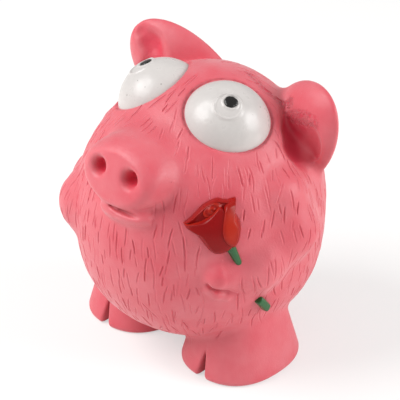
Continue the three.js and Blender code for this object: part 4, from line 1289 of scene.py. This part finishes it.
def make_stems(t, colours):
    """Both lengths of stem: the upper one narrows downwards, the lower one is cut blunt."""
    paint = gloss_paint("green_gloss_paint", colours.stem, 0.28)
    count = 16
    upper = over_body(np.linspace(*UPPER_STEM, count), 0.2, t)
    piece = tube_piece("stem_upper_stalk", upper, np.linspace(1.55, 1.0, count))
    dress(piece, paint, "toy", "stem_green_paint", "stem_upper")
    lower = over_body(np.linspace(*LOWER_STEM, count), 0.3, t)
    piece = tube_piece("stem_lower_stalk", lower, np.full(count, 1.25), blunt=True)
    dress(piece, paint, "toy", "stem_green_paint", "stem_lower")


FILLING_GAP = 0.4  # between the wall and the filling
BARREL_ROOM_RADIUS, BARREL_ROOM_DEPTH = 6.9, 16.5
BOSS_ROOM_EDGE, BOSS_ROOM_DEPTH = (12.2, 13.4), 6.2


def make_filling(t, colours):
    """Lumpy ball of fibre: the cavity's own shape with tufts pressed into it and room for the squeaker."""
    azimuth = np.linspace(-pi, pi, 160, endpoint=False)
    rows = []
    place = squeaker_place(t)
    for latitude in np.linspace(pi / 2, -pi / 2, 110):
        surface = body_place(azimuth, latitude + 0 * azimuth, -t.skin_wall - FILLING_GAP, t)
        d = direction(azimuth, latitude + 0 * azimuth)
        tuft = np.sin(9 * d[:, 0] + 2) * np.sin(8 * d[:, 1] + 4 * d[:, 2])
        tuft += 0.6 * np.sin(17 * d[:, 2] + 5 * d[:, 0]) * np.sin(15 * d[:, 1])
        surface = surface - d * (0.9 + 0.55 * tuft)[:, None]
        wall = dented_body(surface, t) + t.skin_wall + 2 * FILLING_GAP
        surface = surface - d * np.maximum(wall, 0)[:, None] * 1.3
        q = into(surface, place)
        around = np.hypot(q[:, 0], q[:, 1])
        facing = (d @ place[1][2]) > 0.3
        depth = np.where(around < BARREL_ROOM_RADIUS, BARREL_ROOM_DEPTH, BOSS_ROOM_DEPTH)
        close = 1 - smooth_step(around, *BOSS_ROOM_EDGE)
        push = np.where(facing, np.maximum(q[:, 2] + depth, 0) * close, 0)
        rows.append(surface - place[1][2] * push[:, None])
    piece = round_piece("fibre_stuffing", np.stack(rows))
    dress(piece, fibre_material(colours), "toy", "polyester_fibre", "fibre_filling")


def revolve(name, profile, place, columns=120):
    """Profile of radius and height turned once round the place's Z."""
    profile = np.array(profile, float)
    theta = np.linspace(0, 2 * pi, columns, endpoint=False)
    x = profile[:, :1] * np.cos(theta)
    y = profile[:, :1] * np.sin(theta)
    grid = np.stack([x, y, np.broadcast_to(profile[:, 1:], x.shape)], -1)
    return ring_piece(name, out_of(grid, place))


def rounded(profile, radius=0.25, steps=4):
    """Cuts each corner of a closed profile with a short curve."""
    points = np.array(profile, float)
    out = []
    for i in range(len(points)):
        a, b, c = points[i - 1], points[i], points[(i + 1) % len(points)]
        ra, rc = min(radius, np.linalg.norm(a - b) / 2.2), min(radius, np.linalg.norm(c - b) / 2.2)
        start = b + (a - b) / np.linalg.norm(a - b) * ra
        end = b + (c - b) / np.linalg.norm(c - b) * rc
        for s in np.linspace(0, 1, steps):
            out.append((1 - s) ** 2 * start + 2 * s * (1 - s) * b + s**2 * end)
    return out


# The squeaker, in millimetres in its own place, with Z out of the body
BARREL_PROFILE = (
    (4.5, -16.7), (6.0, -16.7), (6.0, -2.6), (9.0, -2.6), (9.0, -1.1), (5.5, -1.1), (5.5, -2.2), (3.5, -2.2),
    (3.5, -2.9), (4.5, -2.9))
GRILLE_RADIUS, GRILLE_HALF_DEPTH, GRILLE_MIDDLE = 5.2, 0.4, -1.5
HOLE_RADIUS, HOLE_RING, HOLE_TURN = 0.7, 2.3, pi / 3
GRILLE_BOX, GRILLE_STEP = ((-5.6, -5.6, -2.2), (5.6, 5.6, -0.8)), 0.16


def grille_distance(q):
    """A thin disc with rounded edges, less one hole in the middle and six round it."""
    around = np.hypot(q[:, 0], q[:, 1])
    disc = carve(around - GRILLE_RADIUS, GRILLE_HALF_DEPTH - np.abs(q[:, 2] - GRILLE_MIDDLE), 0.3)
    turn = (np.arctan2(q[:, 1], q[:, 0]) + HOLE_TURN / 2) % HOLE_TURN - HOLE_TURN / 2
    ring_hole = np.hypot(around * np.cos(turn) - HOLE_RING, around * np.sin(turn)) - HOLE_RADIUS
    return carve(disc, np.minimum(ring_hole, around - HOLE_RADIUS), 0.25)


def make_squeaker(t, colours):
    """The barrel's profile turned round, the grille's disc, and materials for the kept parts."""
    place = squeaker_place(t)
    plastic = plastic_material("moulded_polyethylene", colours.plastic, 0.42)
    housing = revolve("squeaker_flanged_barrel", rounded(BARREL_PROFILE), place)
    dress(housing, plastic, "toy", "squeaker_plastic", "squeaker_housing")
    points, quads = net_surface(grille_distance, *GRILLE_BOX, GRILLE_STEP)
    points = out_of(settle(grille_distance, points), place)
    grille = make_object("squeaker_perforated_disc", points, quads.ravel(), np.full(len(quads), 4))
    dress(grille, plastic, "toy", "squeaker_plastic", "squeaker_grille")
    for name in ("squeaker_reed_bed", "squeaker_reed_wedge"):
        coat(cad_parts[name], plastic)
    film = plastic_material("clear_polyester_film", colours.reed, 0.12, through=0.75)
    coat(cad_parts["squeaker_reed"], film)


# Stage


CAMERA_AZIMUTH, CAMERA_ELEVATION = radians(43), radians(29.3)
CAMERA_DISTANCE = 0.46
LAMP_DISTANCE = 0.8
FLOOR_HALF = 3000.0


def look_rotation(back):
    return Vector([float(v) for v in back]).to_track_quat("Z", "Y").to_euler()


def add_softbox(name, toward, size, energy, target, shine=1.0):
    lamp = bpy.data.lights.new(name, "AREA")
    lamp.shape = "DISK"
    lamp.size = size
    lamp.energy = energy
    lamp.specular_factor = shine
    holder = bpy.data.objects.new(name, lamp)
    holder.location = target + unit(toward) * LAMP_DISTANCE
    holder.rotation_euler = look_rotation(unit(toward))
    bpy.context.scene.collection.objects.link(holder)


def floor_material(colours):
    """Pale paper sweep: the camera sees it almost white, and it keeps the toy's shadow."""
    material, tree, place = new_material("pale_paper_floor")
    grain = node(tree, "ShaderNodeTexNoise", Vector=place, Scale=cells(PAPER_GRAIN), Detail=3.0)
    base = mottled(tree, grain, 0.3, 0.7, 0.05, colours.floor, shaded(colours.floor, 0.9))
    paper = node(tree, "ShaderNodeBsdfDiffuse", Color=base)
    glow = node(tree, "ShaderNodeEmission", Color=(1, 1, 1), Strength=1.0)
    seen = node(tree, "ShaderNodeLightPath").outputs["Is Camera Ray"]
    weight = node(tree, "ShaderNodeMath", TIMES, i0=seen, i1=0.55)
    mixed = node(tree, "ShaderNodeMixShader", i0=weight, i1=paper, i2=glow)
    node(tree, "ShaderNodeOutputMaterial", Surface=mixed)
    return material


def make_world():
    """White where the camera or a clear part looks at it, dimmer as a light."""
    world = bpy.data.worlds.new("studio")
    bpy.context.scene.world = world
    world.use_nodes = True
    tree = world.node_tree
    tree.nodes.clear()
    path = node(tree, "ShaderNodeLightPath").outputs
    seen = node(tree, "ShaderNodeMath", LARGER, i0=path["Is Camera Ray"], i1=path["Is Transmission Ray"])
    strength = node(tree, "ShaderNodeMapRange", Value=seen, To_Min=0.4, To_Max=1.0)
    sky = node(tree, "ShaderNodeBackground", Color=(1, 1, 1), Strength=strength)
    node(tree, "ShaderNodeOutputWorld", Surface=sky)


def make_stage(colours):
    scene = bpy.context.scene
    scene.view_settings.view_transform = "Standard"
    corners = np.array([[-1, -1, 0], [1, -1, 0], [1, 1, 0], [-1, 1, 0]]) * FLOOR_HALF - FRAME_SHIFT
    floor = make_object("floor", corners, np.arange(4), np.array([4]), smooth=False)
    coat(floor, floor_material(colours))

    target = np.array([0.0, FRAME_SHIFT[1] * 0.001, 0.045])
    back = direction(CAMERA_AZIMUTH, CAMERA_ELEVATION)
    lens = bpy.data.cameras.new("camera")
    lens.sensor_width = 36
    lens.lens = 135
    lens.clip_start = 0.01
    camera = bpy.data.objects.new("camera", lens)
    camera.location = target + back * CAMERA_DISTANCE
    camera.rotation_euler = look_rotation(back)
    scene.collection.objects.link(camera)
    scene.camera = camera

    near, up = direction(CAMERA_AZIMUTH, 0.0), np.array([0, 0, 1.0])
    right = np.cross(up, near)
    add_softbox("key_softbox", -0.8 * right + 0.1 * near + 0.8 * up, 0.6, 7.0, target)
    add_softbox("side_softbox", 0.9 * right + 0.2 * near + 0.4 * up, 0.5, 5.0, target, 0.35)
    make_world()


# Operators


class ToyOperator(bpy.types.Operator):
    bl_options = {"REGISTER", "UNDO"}


class TOY_OT_skin(ToyOperator):
    """Makes the latex skin with its bristle lines"""
    bl_idname = "toy.skin"
    bl_label = "Latex skin"

    def execute(self, context):
        t, colours = toy_numbers(), context.scene.toy_colours
        lines = bristles(t)
        skin = make_skin(t, lines)
        lay_bristles(skin, lines)
        dress(
            skin, latex_material(colours), "toy", "latex_pink", "body_skin", "snout", "ear_left", "ear_right",
            "arm_left", "arm_right", "foot_left", "foot_right", "tail")
        return {"FINISHED"}


class TOY_OT_eyes(ToyOperator):
    """Makes the eyes' domes and the painted pupils"""
    bl_idname = "toy.eyes"
    bl_label = "Eyes"

    def execute(self, context):
        t, colours = toy_numbers(), context.scene.toy_colours
        white = gloss_paint("white_gloss_paint", colours.eye_white, 0.3, speck=0.8)
        black = gloss_paint("black_gloss_paint", colours.pupil, 0.25)
        for side, word in ((1, "left"), (-1, "right")):
            dress(make_eye(side, t), white, "toy", "eye_white_paint", f"eye_{word}")
            dress(make_pupil(side, t), black, "toy", "pupil_black_paint", f"pupil_{word}")
        return {"FINISHED"}


class TOY_OT_rose(ToyOperator):
    """Makes the rose's petals, its bud and the two lengths of stem"""
    bl_idname = "toy.rose"
    bl_label = "Rose"

    def execute(self, context):
        t, colours = toy_numbers(), context.scene.toy_colours
        make_rose(t, colours)
        make_stems(t, colours)
        return {"FINISHED"}


class TOY_OT_inside(ToyOperator):
    """Makes the fibre stuffing and dresses the squeaker"""
    bl_idname = "toy.inside"
    bl_label = "Stuffing and squeaker"

    def execute(self, context):
        t, colours = toy_numbers(), context.scene.toy_colours
        make_filling(t, colours)
        make_squeaker(t, colours)
        return {"FINISHED"}


class TOY_OT_stage(ToyOperator):
    """Makes the floor, the lamps, the world and the camera"""
    bl_idname = "toy.stage"
    bl_label = "Stage"

    def execute(self, context):
        make_stage(context.scene.toy_colours)
        return {"FINISHED"}


class TOY_PT_panel(bpy.types.Panel):
    bl_label = "Latex pig toy"
    bl_idname = "TOY_PT_panel"
    bl_space_type = "VIEW_3D"
    bl_region_type = "UI"
    bl_category = "Toy"

    def draw(self, context):
        for group, kind in ((context.scene.toy_sizes, ToySizes), (context.scene.toy_colours, ToyColours)):
            for key in kind.__annotations__:
                self.layout.prop(group, key)
        for operator in OPERATORS:
            self.layout.operator(operator.bl_idname)


OPERATORS = (TOY_OT_skin, TOY_OT_eyes, TOY_OT_rose, TOY_OT_inside, TOY_OT_stage)
CLASSES = (ToySizes, ToyColours, *OPERATORS, TOY_PT_panel)


def register():
    for kind in CLASSES:
        bpy.utils.register_class(kind)
    bpy.types.Scene.toy_sizes = PointerProperty(type=ToySizes)
    bpy.types.Scene.toy_colours = PointerProperty(type=ToyColours)


def unregister():
    del bpy.types.Scene.toy_colours
    del bpy.types.Scene.toy_sizes
    for kind in reversed(CLASSES):
        bpy.utils.unregister_class(kind)


def main():
    register()
    for operator in OPERATORS:
        call = getattr(bpy.ops.toy, operator.bl_idname.split(".")[1])
        if call() != {"FINISHED"}:
            raise RuntimeError(f"{operator.bl_label} was not made")


if __name__ == "__main__":
    main()
